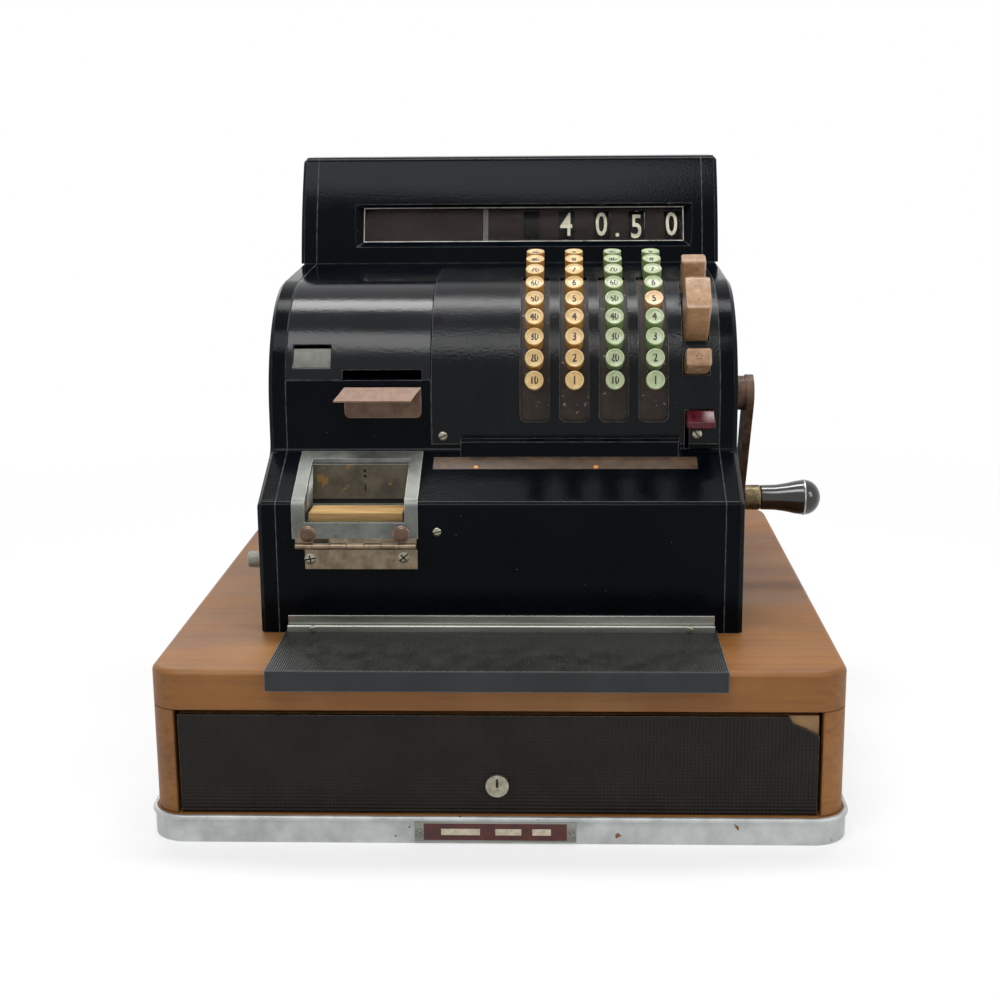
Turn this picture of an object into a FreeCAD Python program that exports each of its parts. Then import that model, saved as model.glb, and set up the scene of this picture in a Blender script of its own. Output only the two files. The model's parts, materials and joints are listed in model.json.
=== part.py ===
import FreeCAD, Part
import math
import os

V = FreeCAD.Vector
os.makedirs("parts", exist_ok=True)

# All sizes are in millimetres. X runs to the operator's right, Y to the back and Z up.
# The origin is the middle of the underside.

# Cabinet
cabinet_width = 480.0
cabinet_depth = 500.0
plinth_height = 20.0
plinth_wall = 1.6
plinth_reach = 3.0
bead_height = 3.4
bead_reach = 1.6
opening_height = 75.5
top_board = 28.5
side_wall = 17.5
back_wall = 12.0
floor_board = 12.0
corner_radius = 22.0
top_edge_bevel = 3.0

# Drawer
drawer_gap = 2.5
drawer_run_gap = 0.3
drawer_side = 10.0
drawer_bottom = 5.0
drawer_side_height = 58.0
drawer_back_gap = 35.5
front_board = 18.0
facing = 3.0
facing_inset = 1.5
front_top_gap = 3.5
divider = 5.0
coin_rows_depth = 95.0
coin_count = 6
note_count = 4
chip_width = 21.0
chip_height = 14.0
lock_radius = 8.0
lock_height = 41.3
lock_length = 22.0
lock_proud = 0.6
lock_fit = 0.05
keyway_width = 1.8
keyway_low = 1.0
keyway_high = 5.5
keyway_depth = 8.0

# Casing
case_half = 176.0
cheek = 13.5
skin = 3.0
front_setback = 88.0
case_depth = 352.0
front_height = 96.5
ledge_slope = 24.5
crease_radius = 6.0
hollow_radius = 8.0
drum_setback = 240.4
drum_height = 154.6
drum_radius = 90.4
deck_rise = 5.5
deck_length = 88.0
deck_end = 6.0
cheek_bevel = 3.0
foot_flange = 15.0
spare = 1.0
seam_height = 177.0
seam_gap = 0.3

# Keyboard panel and beds
panel_margin = 66.6
panel_bottom = 129.0
panel_back = 52.0
panel_rise = 1.1
panel_skin = 3.0
bed_skin = 2.5
bed_margin = 5.0
slot_width = 21.6
slot_bottom = 146.0
slot_corner = 3.0
bank_to_function = 31.75
bank_pitch = 29.55
bank_count = 4
row_first = 12.95
row_step = 8.22
row_count = 9
key_radius = 115.5
cap_top = 7.0
cap_base = 6.8
cap_length = 15.0
cap_sides = 8
dish_depth = 1.0
rim_width = 1.3
stem_width = 8.0
stem_thickness = 2.0
stem_length = 28.0
stem_gap = 0.2
board_gap = 0.8

# Function keys
function_inset = 17.7
function_width = 18.6
function_gap = 0.8
function_root = 80.0
key_bevel = 1.4
star_angle = 21.2
star_height = 13.4
star_top = 117.3
total_angle = 68.7
total_height = 13.8
total_top = 117.3
motor_angle = 45.2
motor_height = 37.0
motor_top = 128.0
motor_round = 6.0
motor_brow = 8.0
motor_fall = 9.0
motor_crown = 1.5

# Selector lever
lever_inset = 24.5
lever_plate = 2.0
lever_slot = 3.2
lever_slot_low = 125.6
lever_slot_high = 154.5
lever_pivot_back = 55.0
lever_pivot_height = 138.5
lever_knob_width = 21.0
lever_knob_height = 12.0
lever_knob_depth = 12.5
lever_knob_low = 142.8
lever_stand_off = 2.4
lever_eye = 7.0
lever_arm_root = 5.0
lever_arm_tip = 3.5
lever_reach = 6.0
knob_undercut = 1.5
knob_nose = 5.0
knob_shelf = 2.5
knob_bevel = 0.8
pivot_radius = 2.5
pivot_fit = 0.06

# Ledge fittings
bar_inset = 22.0
bar_lever_gap = 5.5
bar_height = 10.0
bar_rise = 5.5
bar_depth = 8.0
bar_bevel = 2.5
bar_end_angle = 35.0
bar_end_bevel = 1.2
scale_inset = 2.3
scale_end = 17.5
scale_width = 15.2
scale_depth = 1.4
scale_back_gap = 9.0

# Drum cover fittings
ticket_slot_margin = 1.3
ticket_slot_height = 7.2
window_inset = 5.5
window_width = 28.0
window_low = 186.0
window_high = 202.2
shutter = 1.2
shutter_gap = 2.8
tear_inset = 32.2
tear_end = 1.4
tear_sheet = 1.2
tear_low = 149.0
tear_high = 172.0
tear_reach = 14.0
tear_drop = 7.8
tear_skew = 6.5
tear_corner = 4.0

# Ticket chute and its hinge
chute_inset = 12.1
chute_scale_gap = 8.4
chute_sheet = 2.5
chute_gap = 0.3
chute_top_setback = 55.5
chute_bottom = 71.5
chute_border = 9.5
chute_lip = 83.5
chute_floor = 82.0
chute_back_low = 37.0
chute_back_high = 46.5
tray_wall = 2.0
tray_room = 1.6
tray_slip = 0.1
back_plate = 1.0
back_plate_lift = 10.0
stack_height = 7.0
stack_length = 27.0
stack_margin = 2.0
stack_gap = 1.0
hinge_height = 65.7
hinge_radius = 2.2
hinge_pin = 1.1
hinge_fit = 0.06
hinge_sides = 12
hinge_inset = 2.1
hinge_end = 1.2
knuckles = 7
knuckle_gap = 0.3
leaf_inset = 6.6
leaf_end = 0.5
leaf_top_gap = 0.4
leaf_sheet = 1.3
leaf_bottom = 48.5
stud_radius = 6.2
stud_height = 74.7
stud_head = 2.4
stud_inset = 11.2
stud_end = 12.2
stud_crown = 4.9

# Coin ledge
ledge_half = 157.0
ledge_sheet = 3.0
ledge_overhang = 8.0
ledge_lip = 12.0
lip_sheet = 2.5
strip_half = 155.5
strip_step_height = 5.0
strip_step_depth = 8.0
strip_height = 11.0
strip_sheet = 3.0
strip_bevel = 1.0
ledge_round = 1.5

# Indicator housing
housing_front = 327.5
housing_lean = 35.0
housing_height = 87.5
housing_bulge = 4.4
housing_back_lean = 14.0
housing_round = 8.0
window_lean = 20.0
window_height = 284.0
recess_left_margin = 32.5
recess_right_margin = 8.5
recess_height = 38.0
recess_depth = 6.0
recess_drop = 3.25
pane_inset = 6.5
pane_height = 30.2
pad_front = 2.0
pad_back = 8.0
pad_margin = 6.0
glass_sheet = 2.0
mask_gap = 0.3
mask_sheet = 1.5
mask_slot = 15.2
mask_margin = 1.0
rear_window_height = 15.0
rear_window_drop = 9.75
pane_lap = 3.0

# Number wheels
wheel_radius = 38.0
wheel_width = 13.6
wheel_sides = 20
wheel_gap = 0.8
wheel_inset = 24.8
wheel_pitch = 29.7
wheel_count = 4
blank_wheels = 1
hub_radius = 9.0
hub_sides = 10
shaft_radius = 4.0
shaft_fit = 0.06
shaft_end = 7.0
shaft_end_gap = 0.5
shaft_sides = 12

# Crank and side knob
crank_setback = 178.0
crank_height = 163.0
crank_run = 52.0
crank_drop = 93.0
crank_shaft = 8.0
crank_hub = 13.0
crank_fit = 0.06
crank_gap = 0.5
crank_inside = 8.5
arm_sides = 20
arm_start = 7.5
arm_sheet = 6.0
arm_eye = 14.0
arm_tip = 11.0
spindle_radius = 5.0
spindle_length = 40.0
grip_start = 6.3
ferrule_length = 14.0
ferrule_radius = 10.2
grip_neck = 9.9
grip_belly = 14.2
grip_length = 34.0
grip_dome = 14.0
ring_width = 1.2
ring_rise = 0.2
neck_swell = 0.4
neck_share = 0.35
dome_steps = 4
grip_sides = 16
knob_setback = 115.0
knob_height = 48.6
knob_radius = 6.1
knob_length = 12.5
knob_shaft = 3.0
knob_fit = 0.06
knob_gap = 0.5
knob_rim = 1.4
knob_inside = 7.5

# Places that follow from the sizes above
front_edge = -cabinet_depth / 2
back_edge = cabinet_depth / 2
opening_top = plinth_height + opening_height
wood_top = opening_top + top_board
case_front = front_edge + front_setback
case_back = case_front + case_depth
crease_z = wood_top + front_height
drum_y = front_edge + drum_setback
drum_z = wood_top + drum_height
face_y = drum_y - drum_radius
hollow_z = crease_z + (face_y - case_front) * math.tan(math.radians(ledge_slope))
deck_front = drum_z + drum_radius
deck_z = deck_front + deck_rise
deck_y = drum_y + deck_length
middle_half = case_half - cheek
function_x = middle_half - function_inset
lever_x = middle_half - lever_inset
bank_first = function_x - bank_to_function - (bank_count - 1) * bank_pitch
panel_left = bank_first - slot_width / 2 - panel_margin
bar_left = panel_left + bar_inset
bar_right = lever_x - bar_lever_gap
scale_left = panel_left + scale_inset
scale_right = middle_half - scale_end
chute_left = -middle_half + chute_inset
chute_right = scale_left - chute_scale_gap
hinge_left = chute_left + hinge_inset
hinge_right = chute_right - hinge_end
leaf_left = hinge_left + leaf_inset
tear_left = chute_left + tear_inset
tear_right = chute_right - tear_end
ticket_slot_left = tear_left - ticket_slot_margin
ticket_slot_right = tear_right
window_left = -middle_half + window_inset
window_right = window_left + window_width
panel_low = wood_top + panel_bottom
panel_right = middle_half
panel_face = drum_radius + panel_rise
hinge_y = case_front - hinge_radius - chute_gap
hinge_z = wood_top + hinge_height


def box(x0, x1, y0, y1, z0, z1):
    return Part.makeBox(x1 - x0, y1 - y0, z1 - z0, V(x0, y0, z0))


def rod_x(y, z, radius, x0, x1):
    return Part.makeCylinder(radius, x1 - x0, V(x0, y, z), V(1, 0, 0))


def rod_y(x, z, radius, y0, y1):
    return Part.makeCylinder(radius, y1 - y0, V(x, y0, z), V(0, 1, 0))


def prism_x(corners, x0, x1):
    """Extrude a closed outline of (y, z) corners from x0 to x1."""
    points = [V(x0, y, z) for y, z in corners]
    return Part.Face(Part.makePolygon(points + points[:1])).extrude(V(x1 - x0, 0, 0))


def unit(vector):
    copy = V(vector)
    copy.normalize()
    return copy


def corner_arc(before, corner, after, radius):
    """The tangent arc that rounds a corner, as its first, middle and last point."""
    towards = unit(before - corner)
    onwards = unit(after - corner)
    half = towards.getAngle(onwards) / 2
    inwards = unit(towards + onwards)
    first = corner + towards * (radius / math.tan(half))
    last = corner + onwards * (radius / math.tan(half))
    middle = corner + inwards * (radius / math.sin(half) - radius)
    return first, middle, last


def line(start, end):
    return Part.LineSegment(start, end).toShape()


def arc(first, middle, last):
    return Part.Arc(first, middle, last).toShape()


def edges_where(shape, test):
    """The edges whose two ends both pass a test."""
    return [e for e in shape.Edges if all(test(v.Point) for v in e.Vertexes)]


def union(shapes):
    """One solid from shapes that meet."""
    return shapes[0].multiFuse(shapes[1:]).removeSplitter()


def write(name, solids):
    """Save one node, made of one or more separate solids."""
    shape = solids[0] if len(solids) == 1 else Part.makeCompound(solids)
    shape.exportStep("parts/" + name + ".step")


def rounded_slab(half_x, y0, y1, z0, z1, radius):
    """A flat block with upright rounded corners."""
    slab = box(-half_x, half_x, y0, y1, z0, z1)
    uprights = [e for e in slab.Edges if abs(e.Vertexes[0].Z - e.Vertexes[1].Z) > 0.01]
    return slab.makeFillet(radius, uprights)


def ring_points(radius, z, sides):
    turns = [2 * math.pi * (i + 0.5) / sides for i in range(sides)]
    return [V(radius * math.cos(t), radius * math.sin(t), z) for t in turns]


def frustum(low_radius, low_z, high_radius, high_z, sides):
    """A tapered many-sided block with flat faces, about the Z axis."""
    low = ring_points(low_radius, low_z, sides)
    high = ring_points(high_radius, high_z, sides)
    loops = [low[::-1], high]
    for i in range(sides):
        j = (i + 1) % sides
        loops.append([low[i], low[j], high[j], high[i]])
    faces = [Part.Face(Part.makePolygon(loop + loop[:1])) for loop in loops]
    return Part.makeSolid(Part.makeShell(faces))


def turned_x(profile, x0, y, z, sides):
    """A many-sided turned piece about an axis along X, from (distance, radius) steps."""
    parts = [frustum(r0, d0, r1, d1, sides) for (d0, r0), (d1, r1) in zip(profile, profile[1:])]
    piece = union(parts) if len(parts) > 1 else parts[0]
    piece.rotate(V(0, 0, 0), V(0, 1, 0), 90)
    piece.translate(V(x0, y, z))
    return piece


# Plinth and cabinet
plinth_half = cabinet_width / 2 + plinth_reach
plinth_front = front_edge - plinth_reach
plinth_back = back_edge + plinth_reach
plinth_corner = corner_radius + plinth_reach


def make_plinth():
    """A pan of galvanised sheet with a bead around its rim."""
    outer = rounded_slab(plinth_half, plinth_front, plinth_back, 0, plinth_height, plinth_corner)
    inner = rounded_slab(plinth_half - plinth_wall, plinth_front + plinth_wall,
                         plinth_back - plinth_wall, plinth_wall, plinth_height + spare,
                         plinth_corner - plinth_wall)
    bead_low = plinth_height - bead_height
    bead = rounded_slab(plinth_half + bead_reach, plinth_front - bead_reach, plinth_back + bead_reach,
                        bead_low, plinth_height, plinth_corner + bead_reach)
    rims = edges_where(bead, lambda p: abs(p.z - plinth_height) < 0.01)
    bead = bead.makeChamfer(bead_reach * 0.6, rims)
    return union([outer, bead]).cut(inner)


def make_cabinet():
    """Five boards: floor, two sides, back and top."""
    shell = rounded_slab(cabinet_width / 2, front_edge, back_edge, 0, wood_top, corner_radius)
    floor = rounded_slab(plinth_half - plinth_wall, plinth_front + plinth_wall,
                         plinth_back - plinth_wall, plinth_height - floor_board, plinth_height,
                         plinth_corner - plinth_wall)
    outer = cabinet_width / 2
    inner = outer - side_wall
    left = shell.common(box(-outer, -inner, front_edge, back_edge, plinth_height, opening_top))
    right = shell.common(box(inner, outer, front_edge, back_edge, plinth_height, opening_top))
    back = box(-inner, inner, back_edge - back_wall, back_edge, plinth_height, opening_top)
    top = shell.common(box(-outer, outer, front_edge, back_edge, opening_top, wood_top))
    rim = edges_where(top, lambda p: abs(p.z - wood_top) < 0.01)
    top = top.makeChamfer(top_edge_bevel, rim)
    return [floor, left, right, back, top]


# Drawer
drawer_half = cabinet_width / 2 - side_wall - drawer_gap
facing_y = front_edge + facing_inset
board_y = facing_y + facing
tray_y = board_y + front_board
tray_back = back_edge - back_wall - drawer_back_gap
drawer_z = plinth_height + drawer_run_gap
tray_floor = drawer_z + drawer_bottom
tray_top = drawer_z + drawer_side_height
front_top = opening_top - front_top_gap
front_low = plinth_height + board_gap
coin_back = tray_y + coin_rows_depth
tray_inner = drawer_half - drawer_side


def lock_bore(radius):
    return rod_y(0, lock_height, radius, front_edge - spare, tray_y + spare)


def make_drawer():
    """The front board, the tray with its compartments, and their dividers."""
    board = box(-drawer_half, drawer_half, board_y, tray_y, front_low, front_top)
    board = board.cut(lock_bore(lock_radius + lock_fit))
    tray = box(-drawer_half, drawer_half, tray_y, tray_back, drawer_z, tray_top)
    tray = tray.cut(box(-tray_inner, tray_inner, tray_y - spare, tray_back - drawer_side,
                        tray_floor, tray_top + spare))
    step = 2 * tray_inner / coin_count
    dividers = [box(-tray_inner, tray_inner, coin_back, coin_back + divider, tray_floor, tray_top)]
    for i in range(1, coin_count):
        x = -tray_inner + i * step
        dividers.append(box(x - divider / 2, x + divider / 2, tray_y, coin_back,
                            tray_floor, tray_top - divider))
    step = 2 * tray_inner / note_count
    for i in range(1, note_count):
        x = -tray_inner + i * step
        dividers.append(box(x - divider / 2, x + divider / 2, coin_back + divider,
                            tray_back - drawer_side, tray_floor, tray_top - divider))
    return [board, tray] + dividers


def make_facing():
    """The laminate facing, with its chipped corner."""
    sheet = box(-drawer_half, drawer_half, facing_y, board_y, front_low, front_top)
    x = drawer_half
    chip = [(x - chip_width, front_top + spare), (x - chip_width, front_top),
            (x - chip_width * 0.82, front_top - chip_height * 0.4),
            (x - chip_width * 0.35, front_top - chip_height * 0.7),
            (x, front_top - chip_height), (x + spare, front_top - chip_height),
            (x + spare, front_top + spare)]
    points = [V(px, facing_y - spare, pz) for px, pz in chip]
    chip = Part.Face(Part.makePolygon(points + points[:1])).extrude(V(0, facing + 2 * spare, 0))
    return sheet.cut(chip).cut(lock_bore(lock_radius + lock_fit))


def make_lock():
    """The lock barrel with its keyway and the cam behind it."""
    front = front_edge - lock_proud
    barrel = rod_y(0, lock_height, lock_radius, front, front + lock_length)
    keyway = box(-keyway_width / 2, keyway_width / 2, front - spare, front + keyway_depth,
                 lock_height - keyway_low, lock_height + keyway_high)
    return barrel.cut(keyway)


# Casing skin
def case_wire():
    """The casing's closed side outline, in the plane X = 0."""
    low_front = V(0, case_front, wood_top)
    crease = V(0, case_front, crease_z)
    hollow = V(0, face_y, hollow_z)
    drum_start = V(0, face_y, drum_z)
    crown = V(0, drum_y, deck_front)
    slant = math.sin(math.pi / 4) * drum_radius
    drum_middle = V(0, drum_y - slant, drum_z + slant)
    deck = V(0, deck_y, deck_z)
    top_back = V(0, case_back, deck_z)
    low_back = V(0, case_back, wood_top)
    a0, a1, a2 = corner_arc(low_front, crease, hollow, crease_radius)
    b0, b1, b2 = corner_arc(crease, hollow, drum_start, hollow_radius)
    return Part.Wire([line(low_front, a0), arc(a0, a1, a2), line(a2, b0), arc(b0, b1, b2),
                      line(b2, drum_start), arc(drum_start, drum_middle, crown),
                      line(crown, deck), line(deck, top_back), line(top_back, low_back),
                      line(low_back, low_front)])


side_line = case_wire()


def case_block(offset, x0, x1):
    """The casing's whole side shape, grown or shrunk by an offset, from x0 to x1."""
    wire = side_line.makeOffset2D(offset) if offset else side_line
    face = Part.Face(wire)
    face.translate(V(x0, 0, 0))
    return face.extrude(V(x1 - x0, 0, 0))


def case_skin(outside, inside, x0, x1):
    return case_block(outside, x0, x1).cut(case_block(inside, x0 - spare, x1 + spare))


def make_cheek(x_inner, x_outer):
    """An end frame with rounded outer edges."""
    low, high = sorted((x_inner, x_outer))
    frame = case_block(0, low, high)

    def rounded(p):
        return abs(p.x - x_outer) < 0.01

    edges = [e for e in edges_where(frame, rounded)
             if not all(abs(v.Z - wood_top) < 0.01 for v in e.Vertexes)]
    edges = [e for e in edges if not all(abs(v.Z - deck_z) < 0.01 for v in e.Vertexes)]
    return frame.makeChamfer(cheek_bevel, edges)


crank_y = front_edge + crank_setback
crank_z = wood_top + crank_height
knob_y = front_edge + knob_setback
knob_z = wood_top + knob_height
pivot_y = face_y + lever_pivot_back
pivot_z = wood_top + lever_pivot_height


def make_cheeks():
    """Both end frames, and the pin that the selector lever turns on."""
    left = make_cheek(-middle_half, -case_half)
    left = left.cut(rod_x(knob_y, knob_z, knob_shaft + knob_fit, -case_half - spare, -middle_half + spare))
    right = make_cheek(middle_half, case_half)
    right = right.cut(rod_x(crank_y, crank_z, crank_shaft + crank_fit, middle_half - spare,
                            case_half + spare))
    pin_start = lever_x - lever_plate
    pin = turned_x([(0, pivot_radius), (middle_half - pin_start, pivot_radius)], pin_start,
                   pivot_y, pivot_z, hinge_sides)
    return [left, right, pin]


# Ticket chute opening and the plates that sit in the front cover
def on_ledge(setback):
    """The height of the ledge at a distance behind the casing's front face."""
    return crease_z + setback * math.tan(math.radians(ledge_slope))


chute_inner_left = chute_left + chute_border
chute_inner_right = chute_right - chute_border
chute_lip_z = wood_top + chute_lip
chute_floor_z = wood_top + chute_floor
ticket_low = wood_top + seam_height


def chute_opening():
    """The hole in the front cover that the chute's hopper passes through."""
    x0 = chute_inner_left - tray_wall - tray_room
    x1 = chute_inner_right + tray_wall + tray_room
    back = case_front + chute_back_high + tray_wall + tray_room
    return box(x0, x1, case_front - spare, back, chute_floor_z - tray_wall - tray_room, hollow_z)


def scale_outline(depth):
    """The side outline of the shallow groove across the ledge."""
    back = face_y - scale_back_gap
    slope = math.radians(ledge_slope)
    front = back - scale_width * math.cos(slope)
    top = on_ledge(back - case_front)
    low = on_ledge(front - case_front)
    drop_y = depth * math.sin(slope)
    drop_z = depth * math.cos(slope)
    return [(front, low), (back, top), (back + drop_y, top - drop_z), (front + drop_y, low - drop_z)]


def lever_slot_box():
    reach = 2 * skin + hollow_radius
    return box(lever_x - lever_slot / 2, lever_x + lever_slot / 2, face_y - reach, face_y + reach,
               wood_top + lever_slot_low, wood_top + lever_slot_high)


def make_form_bar():
    """The bar across the ledge, bevelled along its top and at its right end."""
    slope = math.tan(math.radians(ledge_slope))
    back = face_y - panel_rise
    front = back - bar_depth
    low = on_ledge(front - case_front)
    top = panel_low + bar_rise
    bar = prism_x([(front, low), (front, top - bar_bevel), (front + bar_bevel, top), (back, top),
                   (back, low + bar_depth * slope)], bar_left, bar_right)
    bevel = Part.makeBox(bar_height, 4 * bar_depth, 4 * bar_height, V(0, -2 * bar_depth, -2 * bar_height))
    bevel.rotate(V(0, 0, 0), V(0, 0, 1), -bar_end_angle)
    bevel.translate(V(bar_right - bar_end_bevel, front, low + bar_height / 2))
    bar = bar.cut(bevel).cut(case_block(0, bar_left - spare, bar_right + spare))
    panel = case_block(panel_rise, bar_left - spare, bar_right + spare)
    return bar.cut(panel.common(box(bar_left - spare, bar_right + spare, front - spare, deck_y,
                                    panel_low - seam_gap, top + spare)))


def make_front_cover():
    """The lower front with the ledge, the form bar and the scale strip."""
    whole = case_skin(0, -skin, -middle_half, middle_half)
    low = whole.common(box(-middle_half, middle_half, case_front - spare, face_y + skin + spare,
                           wood_top, panel_low - seam_gap))
    low = low.cut(box(-middle_half, middle_half, case_front + foot_flange, deck_y,
                      wood_top - spare, wood_top + skin + spare))
    left = whole.common(box(-middle_half, panel_left - seam_gap, face_y - spare, drum_y,
                            panel_low - seam_gap, ticket_low))
    cover = union([low, left]).cut(chute_opening()).cut(lever_slot_box())
    groove = prism_x(scale_outline(scale_depth), scale_left, scale_right)
    return [cover.cut(groove), groove, make_form_bar()]


def make_drum_cover():
    """The left cover, the strip behind the keyboard, the shutter plate and the rear cover."""
    whole = case_skin(0, -skin, -middle_half, middle_half)
    end_y = deck_y + deck_end
    left = whole.common(box(-middle_half, panel_left - seam_gap, face_y - spare, end_y,
                            ticket_low + seam_gap, deck_z + spare))
    strip = whole.common(box(panel_left - seam_gap - spare, middle_half, drum_y + panel_back + seam_gap,
                             end_y, drum_z, deck_z + spare))
    cover = union([left, strip])
    cover = cover.cut(box(ticket_slot_left, ticket_slot_right, face_y - spare, drum_y,
                          ticket_low, ticket_low + ticket_slot_height))
    hole = box(window_left, window_right, face_y - spare, drum_y, wood_top + window_low,
               wood_top + window_high)
    cover = cover.cut(hole)
    plate = case_skin(-shutter, -skin, window_left, window_right)
    plate = plate.common(box(window_left, window_right, face_y - spare, drum_y, wood_top + window_low,
                             wood_top + window_high - shutter_gap))
    rear = case_skin(0, -skin, -middle_half, middle_half)
    rear = rear.common(box(-middle_half, middle_half, case_back - foot_flange, case_back + spare,
                           wood_top, deck_z))
    return [cover, plate, rear]


# Keyboard
def aim(shape, angle, x):
    """Turn a shape modelled on a radius along Z to its place on the drum."""
    shape.rotate(V(0, 0, 0), V(1, 0, 0), 90 - angle)
    shape.translate(V(x, drum_y, drum_z))
    return shape


function_keys = {
    "star_key": (star_angle, star_height, star_top),
    "total_key": (total_angle, total_height, total_top),
    "motor_bar": (motor_angle, motor_height, motor_top),
}


def slot_cutter(x):
    cutter = box(x - slot_width / 2, x + slot_width / 2, face_y - 2 * panel_rise, drum_y,
                 wood_top + slot_bottom, deck_z + 2 * panel_rise)
    low = [e for e in cutter.Edges
           if all(abs(v.Z - wood_top - slot_bottom) < 0.01 for v in e.Vertexes)
           and abs(e.Vertexes[0].X - e.Vertexes[1].X) < 0.01]
    back = [e for e in cutter.Edges
            if all(abs(v.Y - drum_y) < 0.01 for v in e.Vertexes)
            and abs(e.Vertexes[0].X - e.Vertexes[1].X) < 0.01]
    return cutter.makeChamfer(slot_corner, low + back)


def make_panel():
    """The raised keyboard panel with its slots and holes."""
    panel = case_skin(panel_rise, panel_rise - panel_skin, panel_left, panel_right)
    panel = panel.common(box(panel_left, panel_right, face_y - 2 * panel_rise, drum_y + panel_back,
                             panel_low, deck_z + 2 * panel_rise))
    for bank in range(bank_count):
        panel = panel.cut(slot_cutter(bank_first + bank * bank_pitch))
    for angle, height, top in function_keys.values():
        half = function_width / 2 + function_gap
        hole = box(-half, half, -height / 2 - function_gap, height / 2 + function_gap,
                   function_root, top)
        panel = panel.cut(aim(hole, angle, function_x))
    return panel.cut(lever_slot_box())


def make_beds():
    """The brown bed under the slots, with a slit for each bank of key stems."""
    x0 = bank_first - slot_width / 2 - bed_margin
    x1 = bank_first + (bank_count - 1) * bank_pitch + slot_width / 2 + bed_margin
    outside = panel_rise - panel_skin
    bed = case_skin(outside, outside - bed_skin, x0, x1)
    bed = bed.common(box(x0, x1, face_y - 2 * panel_rise, drum_y + bed_margin,
                         wood_top + slot_bottom - bed_margin, deck_z + 2 * panel_rise))
    inside = drum_radius + outside - bed_skin
    reach = math.atan((stem_width / 2 + stem_gap) / inside)
    first = math.radians(row_first) - reach
    last = math.radians(row_first + (row_count - 1) * row_step) + reach
    half = stem_thickness / 2 + stem_gap
    for bank in range(bank_count):
        x = bank_first + bank * bank_pitch
        bed = bed.cut(box(x - half, x + half, face_y - spare, drum_y - inside * math.cos(last),
                          drum_z + inside * math.sin(first), deck_z + spare))
    cuts = [x0] + [bank_first + (bank + 0.5) * bank_pitch for bank in range(bank_count - 1)] + [x1]
    strips = [bed.common(box(a, b, face_y - spare, deck_y, wood_top, deck_z + spare))
              for a, b in zip(cuts, cuts[1:])]
    return strips[0].multiFuse(strips[1:]).Solids[0]


def key_dish(radius, top, depth):
    """The shallow many-sided hollow in a key's face, about the Z axis."""
    ring = ring_points(radius, top, cap_sides)
    bottom = V(0, 0, top - depth)
    faces = [Part.Face(Part.makePolygon(ring + ring[:1]))]
    for near, far in zip(ring, ring[1:] + ring[:1]):
        faces.append(Part.Face(Part.makePolygon([far, near, bottom, far])))
    return Part.makeSolid(Part.makeShell(faces))


def make_key(angle, x):
    """A tapered cap with a dished top, on its flat stem."""
    base = key_radius - cap_length
    cap = frustum(cap_base, base, cap_top, key_radius, cap_sides)
    dish = key_dish(cap_top - rim_width, key_radius, dish_depth)
    stem = box(-stem_thickness / 2, stem_thickness / 2, -stem_width / 2, stem_width / 2,
               base - stem_length, base)
    return aim(union([cap.cut(dish), stem]), angle, x)


def make_square_key(angle, height, top):
    """A square key with softly rounded edges."""
    half = function_width / 2
    block = box(-half, half, -height / 2, height / 2, function_root, top)
    block = block.makeChamfer(key_bevel, [e for e in block.Edges
                                          if all(v.Z > function_root + spare for v in e.Vertexes)
                                          or abs(e.Vertexes[0].Z - e.Vertexes[1].Z) > spare])
    return aim(block, angle, function_x)


def make_motor_bar():
    """The tall motor bar: a rounded upper end and a top that slopes back."""
    half = function_width / 2
    low = -motor_height / 2
    high = motor_height / 2
    points = [V(-half, low, function_root), V(-half, low, motor_top - motor_crown),
              V(-half, low + motor_brow, motor_top), V(-half, high - motor_brow, motor_top - motor_crown),
              V(-half, high, motor_top - motor_fall), V(-half, high, function_root)]
    block = Part.Face(Part.makePolygon(points + points[:1])).extrude(V(function_width, 0, 0))
    upright = [e for e in block.Edges if abs(e.Vertexes[0].Z - e.Vertexes[1].Z) > motor_fall]
    block = block.makeFillet(motor_round, [e for e in upright if e.Vertexes[0].Y > high - spare])
    lower = [e for e in block.Edges
             if abs(e.Vertexes[0].Z - e.Vertexes[-1].Z) > motor_fall and e.Vertexes[0].Y < low + spare]
    return aim(block.makeChamfer(key_bevel, lower), motor_angle, function_x)


def make_lever():
    """The selector lever: a flat arm on its pivot, with a wedge-shaped thumb piece."""
    low = wood_top + lever_knob_low
    high = low + lever_knob_height
    middle = (low + high) / 2
    x0 = lever_x - lever_plate / 2
    x1 = lever_x + lever_plate / 2
    back = face_y - panel_rise - lever_stand_off
    front = back - lever_knob_depth
    tip = back - lever_reach
    arm = prism_x([(pivot_y, pivot_z - lever_arm_root), (pivot_y, pivot_z + lever_arm_root),
                   (tip, middle + lever_arm_tip), (tip, middle - lever_arm_tip)], x0, x1)
    eye = turned_x([(0, lever_eye), (lever_plate, lever_eye)], x0, pivot_y, pivot_z, grip_sides)
    wedge = prism_x([(back, low + knob_undercut), (front, low), (front, low + knob_nose),
                     (back - knob_shelf, high), (back, high)], x0, x0 + lever_knob_width)
    wedge = wedge.makeChamfer(knob_bevel, wedge.Edges)
    bore = rod_x(pivot_y, pivot_z, pivot_radius + pivot_fit, x0 - spare, x1 + spare)
    return union([arm, eye, wedge]).cut(bore)


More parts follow.
